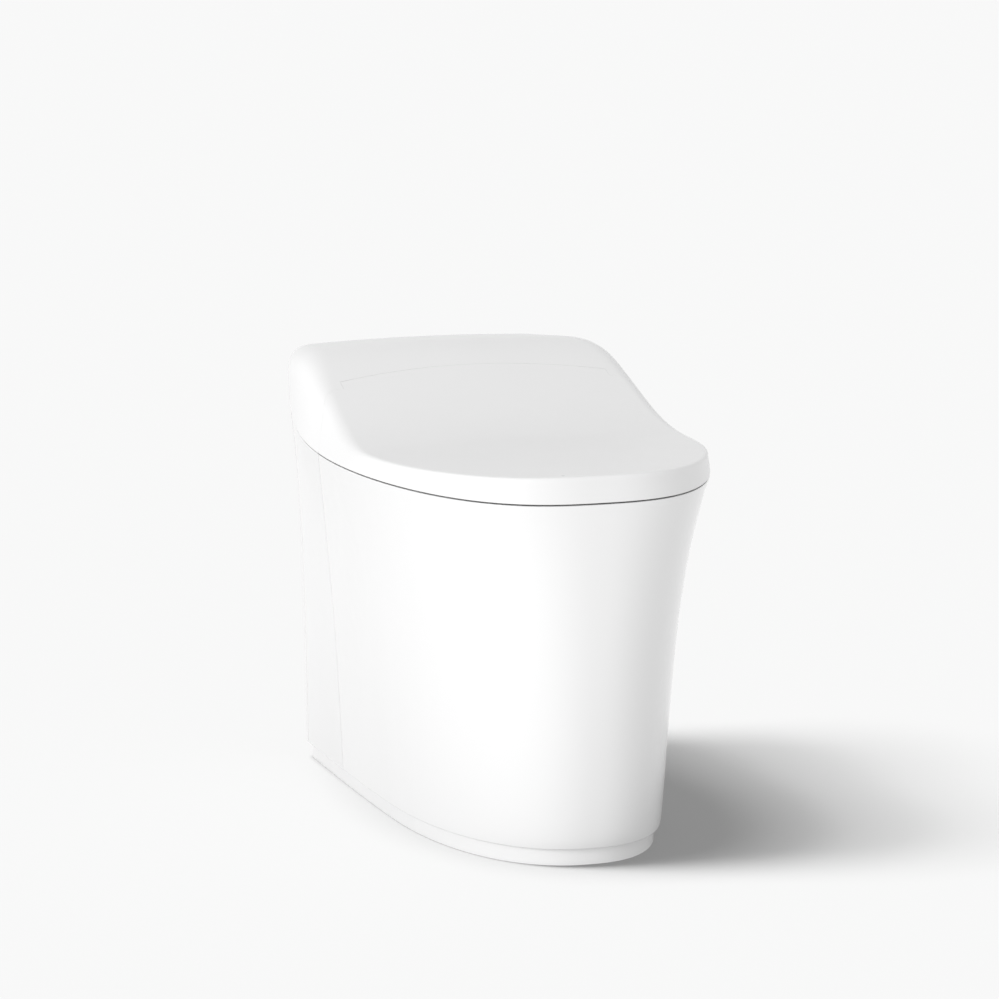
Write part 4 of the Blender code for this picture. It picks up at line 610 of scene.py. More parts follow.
def tint(tree, noise, shader, colour, lighter, darker):
    """Let a noise vary the base colour a little."""
    ramp = new_node(tree, "ValToRGB")
    dark, light = ramp.color_ramp.elements
    dark.position, light.position = TINT_POSITIONS
    dark.color = (*[value * darker for value in colour], 1.0)
    light.color = (*[min(value * lighter, 1.0) for value in colour], 1.0)
    tree.links.new(noise.outputs["Fac"], ramp.inputs["Fac"])
    tree.links.new(ramp.outputs["Color"], shader.inputs["Base Color"])


def glaze(name, colour, low, high):
    """White fired glaze: clear, glossy, faintly wavy."""
    material, tree, shader = new_material(name, colour, GLAZE_ROUGHNESS)
    shader.inputs["IOR"].default_value = GLAZE_IOR
    shader.inputs["Coat Weight"].default_value = GLAZE_COAT
    shader.inputs["Coat Roughness"].default_value = GLAZE_COAT_ROUGHNESS
    add_bump(tree, shader, add_noise(tree, *GLAZE_WAVES), *GLAZE_BUMP)
    tint(tree, add_noise(tree, *GLAZE_CLOUD), shader, colour, *GLAZE_TINT)
    vary_roughness(tree, add_noise(tree, *GLAZE_GRAIN), shader, low, high)
    return material


def satin_plastic(name, colour, low, high, grain_scale=FINE_GRAIN):
    """Moulded plastic with a fine even grain."""
    material, tree, shader = new_material(name, colour, (low + high) / 2)
    shader.inputs["Specular IOR Level"].default_value = PLASTIC_GLOSS
    add_bump(tree, shader, add_noise(tree, grain_scale, GRAIN_DETAIL), *PLASTIC_BUMP)
    tint(tree, add_noise(tree, *PLASTIC_CLOUD), shader, colour, *PLASTIC_TINT)
    vary_roughness(tree, add_noise(tree, *PLASTIC_PATCHES), shader, low, high)
    return material


def metal(name, colour, low, high):
    """Brushed metal with fine lines along X."""
    material, tree, shader = new_material(name, colour, (low + high) / 2, 1.0)
    place = new_node(tree, "TexCoord")
    stretch = new_node(tree, "Mapping", Scale=BRUSH_STRETCH)
    noise = new_node(tree, "TexNoise", Scale=BRUSH_SCALE)
    tree.links.new(place.outputs["Object"], stretch.inputs["Vector"])
    tree.links.new(stretch.outputs["Vector"], noise.inputs["Vector"])
    add_bump(tree, shader, noise, *BRUSH_BUMP)
    vary_roughness(tree, noise, shader, low, high)
    tint(tree, noise, shader, colour, *BRUSH_TINT)
    return material


def finishes():
    """Every finish of the toilet by its short name, made once."""
    white = colours().plastic
    looks = {
        "glaze": (glaze, "white_glaze", colours().glaze, 0.13, 0.20),
        "cover": (satin_plastic, "white_cover_plastic", white, 0.26, 0.34),
        "seat": (satin_plastic, "white_seat_plastic", white, 0.22, 0.30),
        "trim": (satin_plastic, "white_trim_plastic", white, 0.30, 0.38),
        "chassis": (satin_plastic, "chassis_plastic", (0.80, 0.80, 0.80), 0.40, 0.50, 1200.0),
        "grey": (satin_plastic, "grey_plastic", (0.42, 0.43, 0.44), 0.45, 0.6, 900.0),
        "dark": (satin_plastic, "dark_plastic", (0.045, 0.045, 0.05), 0.45, 0.6, 900.0),
        "rubber": (satin_plastic, "soft_rubber", (0.55, 0.55, 0.55), 0.7, 0.85, 700.0),
        # This near-black finish is the outlet seal's own rubber, and also the painted shade of the strips
        # under the side panels
        "seal": (satin_plastic, "dark_rubber", (0.03, 0.03, 0.03), 0.75, 0.9, 700.0),
        "steel": (metal, "stainless_steel", (0.62, 0.62, 0.63), 0.2, 0.34),
        "brass": (metal, "plain_brass", (0.72, 0.52, 0.25), 0.25, 0.4),
    }
    made = {}
    for key, (make, name, *values) in looks.items():
        made[key] = bpy.data.materials.get(name) or make(name, *values)
    return made


# Ceramic body

def skirt_rows(top_drop, inset=0.0):
    """Rows up the skirt to its top edge, which is rounded, and in over the deck."""
    top = seam_height(0) - top_drop
    rows = []
    for step in range(SKIRT_LEVELS + 1):
        share = step / SKIRT_LEVELS
        share = mix(share, smoothstep(share), SKIRT_EASE_SHARE)
        height = mix(PLINTH_HEIGHT + SKIRT_EDGE, top - RIM_EDGE, share)
        rows.append(level_row(body_plan(height, inset), height))
    for step in range(1, 5):
        turn = math.pi / 2 * step / 4
        in_by = RIM_EDGE * (1 - math.cos(turn))
        height = top - RIM_EDGE * (1 - math.sin(turn))
        rows.append(level_row(body_plan(height, inset + in_by), height))
    return rows


def skirt(name):
    """The whole outside: plinth, step, skirt and a flat deck."""
    foot = body_plan(0.0, PLINTH_INSET)
    rows = [level_row(body_plan(0.0, PLINTH_INSET + PLINTH_EDGE), 0.0), level_row(foot, PLINTH_EDGE)]
    rows.append(level_row(foot, PLINTH_HEIGHT))
    for step in range(5):
        turn = math.pi / 2 * step / 4
        in_by = SKIRT_EDGE * (1 - math.sin(turn))
        height = PLINTH_HEIGHT + SKIRT_EDGE * (1 - math.cos(turn))
        rows.append(level_row(body_plan(height, in_by), height))
    rows += skirt_rows(sizes().rim_drop)[1:]
    deck = rows[-1]
    return laid_grid(name, [pole(rows[0])] + rows + [pole(deck)])


def inner_stock(name, depth):
    """The skirt's form drawn in by a depth, past its top and bottom."""
    rows = []
    for height in [mix(PLINTH_HEIGHT, seam_height(0), step / 24) for step in range(25)]:
        rows.append(level_row(body_plan(height, depth), height))
    low = [(x, y, z - OVERRUN) for x, y, z in rows[0]]
    high = [(x, y, z + OVERRUN) for x, y, z in rows[-1]]
    return laid_grid(name, [pole(low), low] + rows + [high, pole(high)])


def joint_line_y(height):
    climb = max(height - PANEL_JOINT_START, 0.0) / (seam_height(0) - PANEL_JOINT_START)
    return PANEL_JOINT_Y - PANEL_JOINT_SWEEP * climb ** 3


def panel_zone(name, side, grow, bottom, top):
    """The space of one side panel between two heights, seen from the side, grown by a margin."""
    count = max(2, round((top - bottom) / PANEL_JOINT_STEP))
    heights = [mix(bottom, top, step / count) for step in range(count + 1)]
    front = [(joint_line_y(height) - grow, tilted(height, joint_line_y(height))) for height in heights]
    front[0] = (front[0][0], front[0][1] - grow)
    rear = REAR_Y - REAR_CORNER - PANEL_REAR_LIP + grow
    outline = front + [(rear, front[-1][1]), (rear, front[0][1])]
    low, high = sorted((side * WALL, side * WIDTH))
    rows = [[(x, y, z) for y, z in outline] for x in (low, high)]
    return capped_grid(name, rows)


def bowl_rows(wall):
    """Rows from the sump up to the rim."""
    top = rim_height()
    rows = []
    for step in range(BOWL_LEVELS + 1):
        climb = step / BOWL_LEVELS
        width_share = 1 - (1 - climb) ** BOWL_SPREAD_POWER
        half_width = mix(SUMP_HALF_WIDTH, BOWL_HALF_WIDTH, width_share) + wall
        half_length = mix(SUMP_HALF_LENGTH, BOWL_HALF_LENGTH, width_share) + wall
        centre = mix(SUMP_CENTRE_Y, BOWL_CENTRE_Y, width_share)
        height = top - BOWL_LIP - (BOWL_DEPTH - BOWL_LIP) * (1 - climb)
        ring = ellipse(centre, half_width, half_length, BOWL_SIDES)
        rows.append([(x, y, mix(height, tilted(height, y), climb)) for x, y in ring])
    return rows


def bowl_hollow(name):
    """The bowl's inside, opening out round its rim."""
    rows = bowl_rows(0.0)
    low = rows[0]
    bottom = []
    steps = 5
    for step in range(1, steps):
        turn = math.pi / 2 * step / steps
        share = math.cos(turn)
        drop = SUMP_ROUNDING * math.sin(turn)
        bottom.insert(0, [(x * share, mix(SUMP_CENTRE_Y, y, share), z - drop) for x, y, z in low])
    lip_steps = 8
    for step in range(1, lip_steps + 1):
        turn = math.pi / 2 * step / lip_steps
        out = BOWL_LIP * (1 - math.cos(turn))
        height = rim_height() - BOWL_LIP * (1 - math.sin(turn))
        ring = ellipse(BOWL_CENTRE_Y, BOWL_HALF_WIDTH + out, BOWL_HALF_LENGTH + out, BOWL_SIDES)
        rows.append([(x, y, tilted(height, y)) for x, y in ring])
    lifted = [(x, y, z + OVERRUN) for x, y, z in rows[-1]]
    floor = [(0.0, SUMP_CENTRE_Y, low[0][2] - SUMP_ROUNDING)] * BOWL_SIDES
    return laid_grid(name, [floor] + bottom + rows + [lifted, pole(lifted)])


def skirt_hollow(name):
    """The space inside the skirt, open to the floor."""
    low_wall = WALL + PLINTH_INSET
    top = rim_height() - DECK_THICKNESS
    foot = body_plan(0.0, low_wall)
    rows = [level_row(foot, -OVERRUN), level_row(foot, PLINTH_HEIGHT)]
    for step in range(HOLLOW_LEVELS + 1):
        height = mix(PLINTH_HEIGHT + WALL, top, step / HOLLOW_LEVELS)
        rows.append(level_row(body_plan(height, WALL), height))
    return laid_grid(name, [pole(rows[0])] + rows + [pole(rows[-1])])


def bowl_outside(name):
    rows = bowl_rows(BOWL_WALL)[::2]
    low = [(x, y, z - SUMP_ROUNDING - BOWL_WALL) for x, y, z in rows[0]]
    return laid_grid(name, [pole(low), low] + rows + [pole(rows[-1])])


def trap_route(overrun):
    """Centre line of the trapway from the sump over the weir to the floor outlet."""
    sump_floor = rim_height() - BOWL_DEPTH
    radius = TRAP_BORE / 2
    weir_height = sump_floor + radius + TRAP_WEIR_RISE
    knots = [
        (SUMP_CENTRE_Y, sump_floor + radius * TRAP_START_LIFT_SHARE),
        (mix(SUMP_CENTRE_Y, TRAP_WEIR_Y, TRAP_DIP_SHARE), sump_floor + radius - TRAP_DIP),
        (TRAP_WEIR_Y, weir_height),
        (TRAP_WEIR_Y + TRAP_BORE * TRAP_FALL_SHARES[0], weir_height - TRAP_BORE * TRAP_FALL_SHARES[1]),
        (TRAP_WEIR_Y + TRAP_BORE * TRAP_BEND_SHARES[0], weir_height * TRAP_BEND_SHARES[1]),
        (OUTLET_Y, SEAL_HEIGHT * TRAP_END_SHARE),
    ]
    points = [Vector(knots[0])]
    pieces = 6
    for index in range(len(knots) - 1):
        near = [min(max(index + place, 0), len(knots) - 1) for place in (-1, 0, 1, 2)]
        a, b, c, d = (Vector(knots[place]) for place in near)
        for step in range(1, pieces + 1):
            share = step / pieces
            bend = c - a + share * (2 * a - 5 * b + 4 * c - d + share * (3 * (b - c) + d - a))
            points.append(b + 0.5 * share * bend)
    return points + [Vector((OUTLET_Y, SEAL_HEIGHT + RUNNING_GAP - overrun))]


def trap_tube(name, radius, overrun):
    route = trap_route(overrun)
    rows = []
    for index, point in enumerate(route):
        way = (route[min(index + 1, len(route) - 1)] - route[max(index - 1, 0)]).normalized()
        ring = []
        for side in range(BAR_SIDES):
            turn = 2 * math.pi * side / BAR_SIDES
            up = radius * math.cos(turn)
            ring.append((radius * math.sin(turn), point.x - way.y * up, point.y + way.x * up))
        rows.append(ring)
    return closed_grid(name, rows)


class TOILET_OT_ceramic_body(bpy.types.Operator):
    """Model the glazed ceramic body with its bowl and the recesses for the side panels."""

    bl_idname = "toilet.ceramic_body"
    bl_label = "Ceramic body"

    def execute(self, context):
        body = skirt("ceramic_shell")
        carve(body, skirt_hollow("hollow"), "DIFFERENCE")
        carve(body, bowl_outside("bowl_outside"), "UNION")
        carve(body, trap_tube("trap_outside", TRAP_BORE / 2 + BOWL_WALL, 0.0), "UNION")
        carve(body, bowl_hollow("bowl_hollow"), "DIFFERENCE")
        carve(body, trap_tube("trap_bore", TRAP_BORE / 2, OVERRUN), "DIFFERENCE")
        rim = rim_height()
        notch = block(
            "notch", (-NOTCH_HALF_WIDTH, BOWL_CENTRE_Y + BOWL_HALF_LENGTH - WALL * 2, rim - NOTCH_DEPTH),
            (NOTCH_HALF_WIDTH, NOTCH_REAR_Y, rim + WALL),
        )
        carve(body, notch, "DIFFERENCE")
        ceiling = seam_height(0) + OVERRUN * 2
        recesses = ((SKIN + RUNNING_GAP, PANEL_FOOT, ceiling), (FOOT_SLOT_DEPTH, *FOOT_SLOT_HEIGHTS))
        for side in (-1, 1):
            for depth, bottom, top in recesses:
                recess = panel_zone("recess", side, sizes().panel_gap / 2, bottom, top)
                carve(recess, inner_stock("stock", depth), "DIFFERENCE")
                carve(body, recess, "DIFFERENCE")
        low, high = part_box("inlet_fitting")
        middle = (low + high) / 2
        way = Vector((0, WALL * 3, 0))
        place = Vector((middle.x, REAR_Y, middle.z))
        carve(body, bar("hole", FITTING_HOLE_RADIUS, place - way, place + way), "DIFFERENCE")
        for node in ("chassis_screw_left", "chassis_screw_right"):
            low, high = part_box(node)
            middle = (low + high) / 2
            top = Vector((middle.x, middle.y, high.z + OVERRUN))
            bottom = Vector((middle.x, middle.y, low.z))
            carve(body, bar("hole", SCREW_HOLE_RADIUS, bottom, top), "DIFFERENCE")
        finish_piece(body, "toilet", finishes()["glaze"], ["ceramic_body"])
        return {"FINISHED"}


class TOILET_OT_side_panels(bpy.types.Operator):
    """Model both side panels, flush with the ceramic round them, over near-black strips that paint the shade
    in the slot under their lower edges.
    """

    bl_idname = "toilet.side_panels"
    bl_label = "Side panels"

    def execute(self, context):
        for side, name in ((-1, "left"), (1, "right")):
            rows = skirt_rows(PANEL_DROP)
            low = [(x, y, z - OVERRUN / 2) for x, y, z in rows[0]]
            panel = laid_grid("panel_skin_" + name, [pole(low), low] + rows + [pole(rows[-1])])
            ceiling = seam_height(0) + OVERRUN * 2
            zone = panel_zone("zone", side, -sizes().panel_gap / 2, PANEL_FOOT, ceiling)
            carve(panel, zone, "INTERSECT")
            carve(panel, inner_stock("stock", SKIN), "DIFFERENCE")
            finish_piece(panel, "toilet", finishes()["cover"], ["side_panel_" + name])
            # Near-black strip in the foot slot under the panel: painted shade for the dark gap below the
            # panel's lower edge
            strip = panel_zone("panel_shade_strip_" + name, side, -sizes().panel_gap, *FOOT_SHADE_STRIP_HEIGHTS)
            carve(strip, inner_stock("outer", FOOT_SHADE_STRIP_INSET), "INTERSECT")
            carve(strip, inner_stock("core", FOOT_SHADE_STRIP_DEPTH), "DIFFERENCE")
            finish_piece(strip, "toilet", finishes()["seal"])
        return {"FINISHED"}


# Lid and rear cover

def eased_run(value):
    """Height gained by a slope that grows by smoothstep from 0 to 1 and then stays."""
    eased = min(max(value, 0.0), 1.0)
    return eased ** 3 - eased ** 4 / 2 + max(value - 1, 0.0)


def s_curve_rise(y):
    """Rise of the S-curve where its steepest slope is 1: up to the crest, then a slight fall."""
    up = S_CURVE_LENGTH * eased_run((y - S_CURVE_START_Y) / S_CURVE_LENGTH)
    down = CREST_LENGTH * eased_run((y - CREST_START_Y) / CREST_LENGTH)
    return up - down / smoothstep(CREST_SHARE)


def profile_height(y):
    """Height of the top along the middle."""
    return mix(LID_TOP, HEIGHT, s_curve_rise(y) / s_curve_rise(CREST_Y))


def top_height(x, y):
    crown = mix(FRONT_CROWN, REAR_CROWN, smoothstep((y - S_CURVE_START_Y) / CROWN_GROWTH_LENGTH))
    return profile_height(y) - crown * (x / CROWN_HALF_WIDTH) ** 2


def band_inset(y):
    """How far the top edge lies inside the seam outline; the sides flare out again to the rear."""
    if y >= REAR_Y:
        return BAND_LEAN
    away = min(abs(y - SHOULDER_Y) / SHOULDER_REACH, 1.0)
    flare = REAR_FLARE * smoothstep((y - SHOULDER_Y) / SHOULDER_REACH)
    return BAND_LEAN + SHOULDER_LEAN * math.cos(math.pi / 2 * away) ** 2 - flare


def edge_radius(y):
    shoulder = sizes().shoulder_radius
    rise = smoothstep((y - S_CURVE_START_Y) / (SHOULDER_Y - S_CURVE_START_Y))
    growth = (REAR_RADIUS - shoulder) * smoothstep((y - SHOULDER_Y) / REAR_RADIUS_GROWTH)
    return mix(sizes().crease_radius, shoulder, rise) + growth


def surface_row(inset, drop):
    """The seam outline drawn in and laid on the top surface."""
    return [Vector((x, y, top_height(x, y) - drop)) for x, y in seam_plan(inset)]


def shell_rows(lift, inset=0.0, drop=0.0):
    """Rows from the lower edge up the leaning band, round the top edge and in over the top."""
    seam = [Vector((x, y, seam_height(y) + lift)) for x, y in seam_plan(inset)]
    drawn = [Vector((x, y, seam_height(y) + lift)) for x, y in seam_plan(inset + LOWER_EDGE)]
    corner = surface_row(lambda y: inset + band_inset(y), drop)
    over = surface_row(lambda y: inset + band_inset(y) + edge_radius(y), drop)
    under = []
    raised = []
    for low, high in zip(seam, corner):
        reach = (high - low).length
        under.append(high.lerp(low, min(edge_radius(high.y) / reach, EDGE_LIMIT_SHARE)))
        raised.append(low.lerp(high, LOWER_EDGE / reach))
    rows = []
    edge_steps = 3
    for step in range(edge_steps + 1):
        share = step / edge_steps
        rows.append([curve_point(*places, share) for places in zip(drawn, seam, raised)])
    band_steps = 8
    for step in range(1, band_steps):
        rows.append([low.lerp(high, step / band_steps) for low, high in zip(raised, under)])
    rounding_steps = 12
    for step in range(rounding_steps + 1):
        share = step / rounding_steps
        rows.append([curve_point(*places, share) for places in zip(under, corner, over)])
    top_steps = 40
    for step in range(1, top_steps):
        share = 1 - step / top_steps
        ring = [(point.x * share, mix(WIDEST_Y, point.y, share)) for point in over]
        rows.append([(x, y, top_height(x, y) - drop) for x, y in ring])
    rows.append([(0.0, WIDEST_Y, top_height(0.0, WIDEST_Y) - drop)] * len(over))
    return [[tuple(point) for point in row] for row in rows]


def curve_point(low, middle, high, share):
    return low.lerp(middle, share).lerp(middle.lerp(high, share), share)


def shell(name, lift):
    """A hollow moulded shell of the whole top, open at the bottom."""
    rows = shell_rows(lift)
    outer = laid_grid(name, [pole(rows[0])] + rows)
    rows = shell_rows(lift, SKIN, SKIN)
    low = [(x, y, z - OVERRUN) for x, y, z in rows[1]]
    inner = laid_grid("inside", [pole(low), low] + rows[1:])
    return carve(outer, inner, "DIFFERENCE")


def split_line(side_clearance, forward):
    """Half of the split between lid and cover in plan, moved by a clearance."""
    points = []
    count = 30
    for step in range(count + 1):
        x = SPLIT_STEP_X * step / count
        points.append((x, SPLIT_Y - SPLIT_BOW * (x / SPLIT_STEP_X) ** 2 - forward))
    points[-1] = (SPLIT_STEP_X - side_clearance, points[-1][1])
    points.append((SPLIT_STEP_X - side_clearance, SPLIT_STEP_FRONT_Y - forward))
    span = SPLIT_SIDE_X - SPLIT_STEP_X
    for step in range(1, 13):
        share = step / 12
        y = mix(SPLIT_STEP_FRONT_Y, SPLIT_SIDE_Y, share ** 2)
        points.append((SPLIT_STEP_X + span * share, y - forward))
    slope = (SPLIT_SEAM_Y - SPLIT_SIDE_Y) / (WIDTH / 2 - SPLIT_SIDE_X)
    outer_x = WIDTH / 2 + OVERRUN
    points.append((outer_x, SPLIT_SIDE_Y + slope * (outer_x - SPLIT_SIDE_X) - forward))
    return points


def split_zone(name, side_clearance, forward):
    half = split_line(side_clearance, forward)
    front = FRONT_Y - OVERRUN
    outer_x = half[-1][0]
    outline = [(-x, y) for x, y in reversed(half[1:])] + half + [(outer_x, front), (-outer_x, front)]
    low, high = SEAM_FRONT_HEIGHT - OVERRUN * 2, HEIGHT + OVERRUN
    rows = [[(x, y, z) for x, y in outline] for z in (low, high)]
    return capped_grid(name, rows)


def hinge_slope():
    step = SHAFT_RADIUS
    return math.atan((profile_height(HINGE_Y + step) - profile_height(HINGE_Y - step)) / (2 * step))


def hinge_point(x=0.0):
    return Vector((x, HINGE_Y, profile_height(HINGE_Y) - HINGE_DEPTH / math.cos(hinge_slope())))


def swept_barrel(name):
    """What the lid's rear edge sweeps as it turns about the shaft."""
    axis = hinge_point()
    rows = []
    count = 24
    for step in range(count + 1):
        x = SPLIT_STEP_X * (2 * step / count - 1)
        y = SPLIT_Y - SPLIT_BOW * (x / SPLIT_STEP_X) ** 2
        radius = math.hypot(y - axis.y, top_height(x, y) - axis.z) + BARREL_CLEARANCE
        ring = []
        for index in range(BARREL_SIDES):
            turn = 2 * math.pi * index / BARREL_SIDES
            ring.append((x, axis.y + radius * math.sin(turn), axis.z + radius * math.cos(turn)))
        rows.append(ring)
    return closed_grid(name, rows)


def lid_web():
    """Section of the web that joins a lid knuckle to the skin above it."""
    slope = hinge_slope()
    normal = Vector((0, -math.sin(slope), math.cos(slope)))
    across = Vector((0, math.cos(slope), math.sin(slope))) * LID_KNUCKLE_RADIUS * KNUCKLE_WEB_SHARE
    axis = hinge_point()
    drop = profile_height(HINGE_Y) - top_height(LID_KNUCKLE_REACH[1], HINGE_Y)
    top = axis + normal * (HINGE_DEPTH - drop - WEB_SINK)
    return [(point.y, point.z) for point in (axis - across, axis + across, top + across, top - across)]


def add_knuckles(obj, section, reach, radius):
    """Join a pair of knuckles with the arms that carry them, and bore them for the shaft."""
    for side in (-1, 1):
        low, high = sorted((side * reach[0], side * reach[1]))
        knuckle = bar("knuckle", radius, hinge_point(low), hinge_point(high), BAR_SIDES, KNUCKLE_EDGE)
        arm = prism("arm", section, low + KNUCKLE_EDGE, high - KNUCKLE_EDGE)
        round_edges(arm, KNUCKLE_EDGE)
        carve(knuckle, arm, "UNION")
        carve(obj, knuckle, "UNION")
    end = reach[1] + BORE_OVERRUN
    carve(obj, bar("bore", SHAFT_RADIUS + RUNNING_GAP, hinge_point(-end), hinge_point(end)), "DIFFERENCE")


def add_pad(name, node, body, inset, edge):
    """Model one round bumper over its solid."""
    low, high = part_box(node)
    middle = (low + high) / 2
    foot = (middle.x, middle.y, low.z)
    head = (middle.x, middle.y, high.z)
    pad = bar(name, (high.x - low.x) / 2 - inset, foot, head, PAD_SIDES, edge)
    finish_piece(pad, body, finishes()["rubber"], [node])


class TOILET_OT_lid(bpy.types.Operator):
    """Model the lid with its hinge knuckles and bumpers."""

    bl_idname = "toilet.lid"
    bl_label = "Lid"

    def execute(self, context):
        half_gap = sizes().split_gap / 2
        lid = shell("lid_shell", sizes().lid_lift)
        carve(lid, split_zone("zone", half_gap, half_gap), "INTERSECT")
        add_knuckles(lid, lid_web(), LID_KNUCKLE_REACH, LID_KNUCKLE_RADIUS)
        finish_piece(lid, "lid", finishes()["cover"], ["lid"])
        for name in ("left", "right"):
            add_pad("lid_pad_" + name, "lid_bumper_" + name, "lid", 0.0, LID_PAD_EDGE)
        return {"FINISHED"}


class TOILET_OT_rear_cover(bpy.types.Operator):
    """Model the fixed rear cover over the washing unit."""

    bl_idname = "toilet.rear_cover"
    bl_label = "Rear cover"

    def execute(self, context):
        half_gap = sizes().split_gap / 2
        cover = shell("cover_shell", COVER_LIFT)
        carve(cover, split_zone("zone", -half_gap, -half_gap), "DIFFERENCE")
        carve(cover, swept_barrel("barrel"), "DIFFERENCE")
        for node in ("button_flush", "button_wash"):
            middle, way, radius = button_place(node)
            reach = way * OVERRUN
            hole = bar("hole", radius + BUTTON_GAP, middle - reach, middle + reach, BUTTON_SIDES)
            carve(cover, hole, "DIFFERENCE")
        low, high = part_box("filter_cartridge")
        margin = Vector((0, FILTER_SLOT_MARGIN, FILTER_SLOT_MARGIN))
        slot_high = Vector((WIDTH / 2, high.y, high.z))
        carve(cover, block("slot", low - margin, slot_high + margin), "DIFFERENCE")
        low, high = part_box("power_gland")
        middle = (low + high) / 2
        inside = (middle.x, REAR_Y - OVERRUN * 2, middle.z)
        outside = (middle.x, REAR_Y + OVERRUN, middle.z)
        hole = bar("hole", GLAND_HOLE_RADIUS, inside, outside)
        carve(cover, hole, "DIFFERENCE")
        finish_piece(cover, "toilet", finishes()["cover"], ["rear_cover"])
        return {"FINISHED"}


def button_place(node):
    """Outer face centre, way out and radius of a push button, from its joint and its solid."""
    joint = next(joint for joint in frame["joints"] if joint["child"] == BUTTON_BODIES[node])
    way = -Vector(joint["axis"]).normalized()
    low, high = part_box(node)
    middle = (low + high) / 2
    points = [vertex.co for vertex in frame["nodes"][node].data.vertices]
    reach = max((point - middle).dot(way) for point in points)
    face = [point for point in points if (point - middle).dot(way) > reach - BUTTON_FACE_DEPTH]
    centre = sum(face, Vector()) / len(face)
    return centre, way, max((point - centre).length for point in face)


class TOILET_OT_push_buttons(bpy.types.Operator):
    """Model the two round push buttons on the cover's right side."""

    bl_idname = "toilet.push_buttons"
    bl_label = "Push buttons"

    def execute(self, context):
        for node, body in BUTTON_BODIES.items():
            centre, way, radius = button_place(node)
            back = centre - way * BUTTON_CAP_DEPTH
            cap = bar(node + "_cap", radius, back, centre, BUTTON_SIDES, BUTTON_CAP_EDGE)
            finish_piece(cap, body, finishes()["trim"], [node])
        return {"FINISHED"}


# Seat

def seat_outline():
    outline = [point for point in seam_plan(SEAT_INSET) if point[1] < SEAT_REAR_Y]
    right = sorted((point for point in outline if point[0] >= 0), key=lambda point: -point[1])
    rear_x = right[0][0]
    corner_x = rear_x - SEAT_CORNER
    corner_y = SEAT_REAR_Y - SEAT_CORNER
    steps = 10
    turns = [math.pi / 2 * step / steps for step in range(steps + 1)]
    rear = []
    for turn in turns:
        rear.append((corner_x + SEAT_CORNER * math.sin(turn), corner_y + SEAT_CORNER * math.cos(turn)))
    right = rear + [point for point in right if point[1] < corner_y - SEAT_EDGE]
    return right + [(-x, y) for x, y in reversed(right) if x > 0]


def outline_reach(outline, centre_y, way):
    """How far the outline lies from the hole's centre in a direction."""
    best = 0.0
    for index, (x, y) in enumerate(outline):
        x2, y2 = outline[(index + 1) % len(outline)]
        edge = Vector((x2 - x, y2 - y))
        cross = way.x * edge.y - way.y * edge.x
        if abs(cross) < PARALLEL_LIMIT:
            continue
        to = Vector((x, y - centre_y))
        reach = (to.x * edge.y - to.y * edge.x) / cross
        share = (to.x * way.y - to.y * way.x) / cross
        if reach > 0 and -EDGE_TOLERANCE_SHARE <= share <= 1 + EDGE_TOLERANCE_SHARE:
            best = max(best, reach)
    return best


class TOILET_OT_seat(bpy.types.Operator):
    """Model the seat ring with its crowned top, arms, knuckles and bumpers."""

    bl_idname = "toilet.seat"
    bl_label = "Seat"

    def execute(self, context):
        outline = seat_outline()
        section = seat_section()
        rows = [[] for _ in section]
        for index in range(SEAT_SIDES):
            turn = 2 * math.pi * index / SEAT_SIDES
            way = Vector((math.sin(turn), -math.cos(turn)))
            outer = outline_reach(outline, SEAT_HOLE_CENTRE_Y, way)
            inner = 1 / math.hypot(way.x / SEAT_HOLE_HALF_WIDTH, way.y / SEAT_HOLE_HALF_LENGTH)
            for row, (share, offset, height) in zip(rows, section):
                reach = mix(inner, outer, share) + offset
                x = way.x * reach
                y = SEAT_HOLE_CENTRE_Y + way.y * reach
                row.append((x, y, seam_height(y) + SEAT_LIFT + height))
        seat = laid_grid("seat_ring", rows + [rows[0]])
        add_knuckles(seat, arm_section(), SEAT_KNUCKLE_REACH, SEAT_KNUCKLE_RADIUS)
        finish_piece(seat, "seat", finishes()["seat"], ["seat"])
        for name in ("front_left", "front_right", "rear_left", "rear_right"):
            node = "seat_bumper_" + name
            add_pad(node + "_pad", node, "seat", SEAT_PAD_INSET, SEAT_PAD_EDGE)
        return {"FINISHED"}


def seat_section():
    """The ring's section: share of the way outwards, offset and height."""
    points = []
    round_steps = 6
    for step in range(round_steps + 1):
        turn = math.pi * step / round_steps
        middle = SEAT_EDGE if turn <= math.pi / 2 else SEAT_THICKNESS - SEAT_EDGE
        points.append((1.0, SEAT_EDGE * (math.sin(turn) - 1), middle - SEAT_EDGE * math.cos(turn)))
    top_steps = 12
    for step in range(1, top_steps):
        share = 1 - step / top_steps
        crown = SEAT_CROWN * math.sin(math.pi * share)
        points.append((share, mix(SEAT_EDGE, -SEAT_EDGE, share), SEAT_THICKNESS + crown))
    for step in range(round_steps + 1):
        turn = math.pi * step / round_steps
        middle = SEAT_THICKNESS - SEAT_EDGE if turn <= math.pi / 2 else SEAT_EDGE
        points.append((0.0, SEAT_EDGE * (1 - math.sin(turn)), middle + SEAT_EDGE * math.cos(turn)))
    under_steps = 6
    for step in range(1, under_steps):
        share = step / under_steps
        points.append((share, mix(SEAT_EDGE, -SEAT_EDGE, share), 0.0))
    return points


def arm_section():
    """Section of the seat's arms, from inside the ring up to the shaft."""
    axis = hinge_point()
    foot_height = seam_height(SEAT_ARM_FOOT_Y) + SEAT_LIFT + SEAT_THICKNESS / 2
    foot = Vector((0, SEAT_ARM_FOOT_Y, foot_height))
    along = (axis - foot).normalized()
    across = Vector((0, -along.z, along.y)) * SEAT_ARM_THICKNESS / 2
    return [(point.y, point.z) for point in (foot - across, axis - across, axis + across, foot + across)]


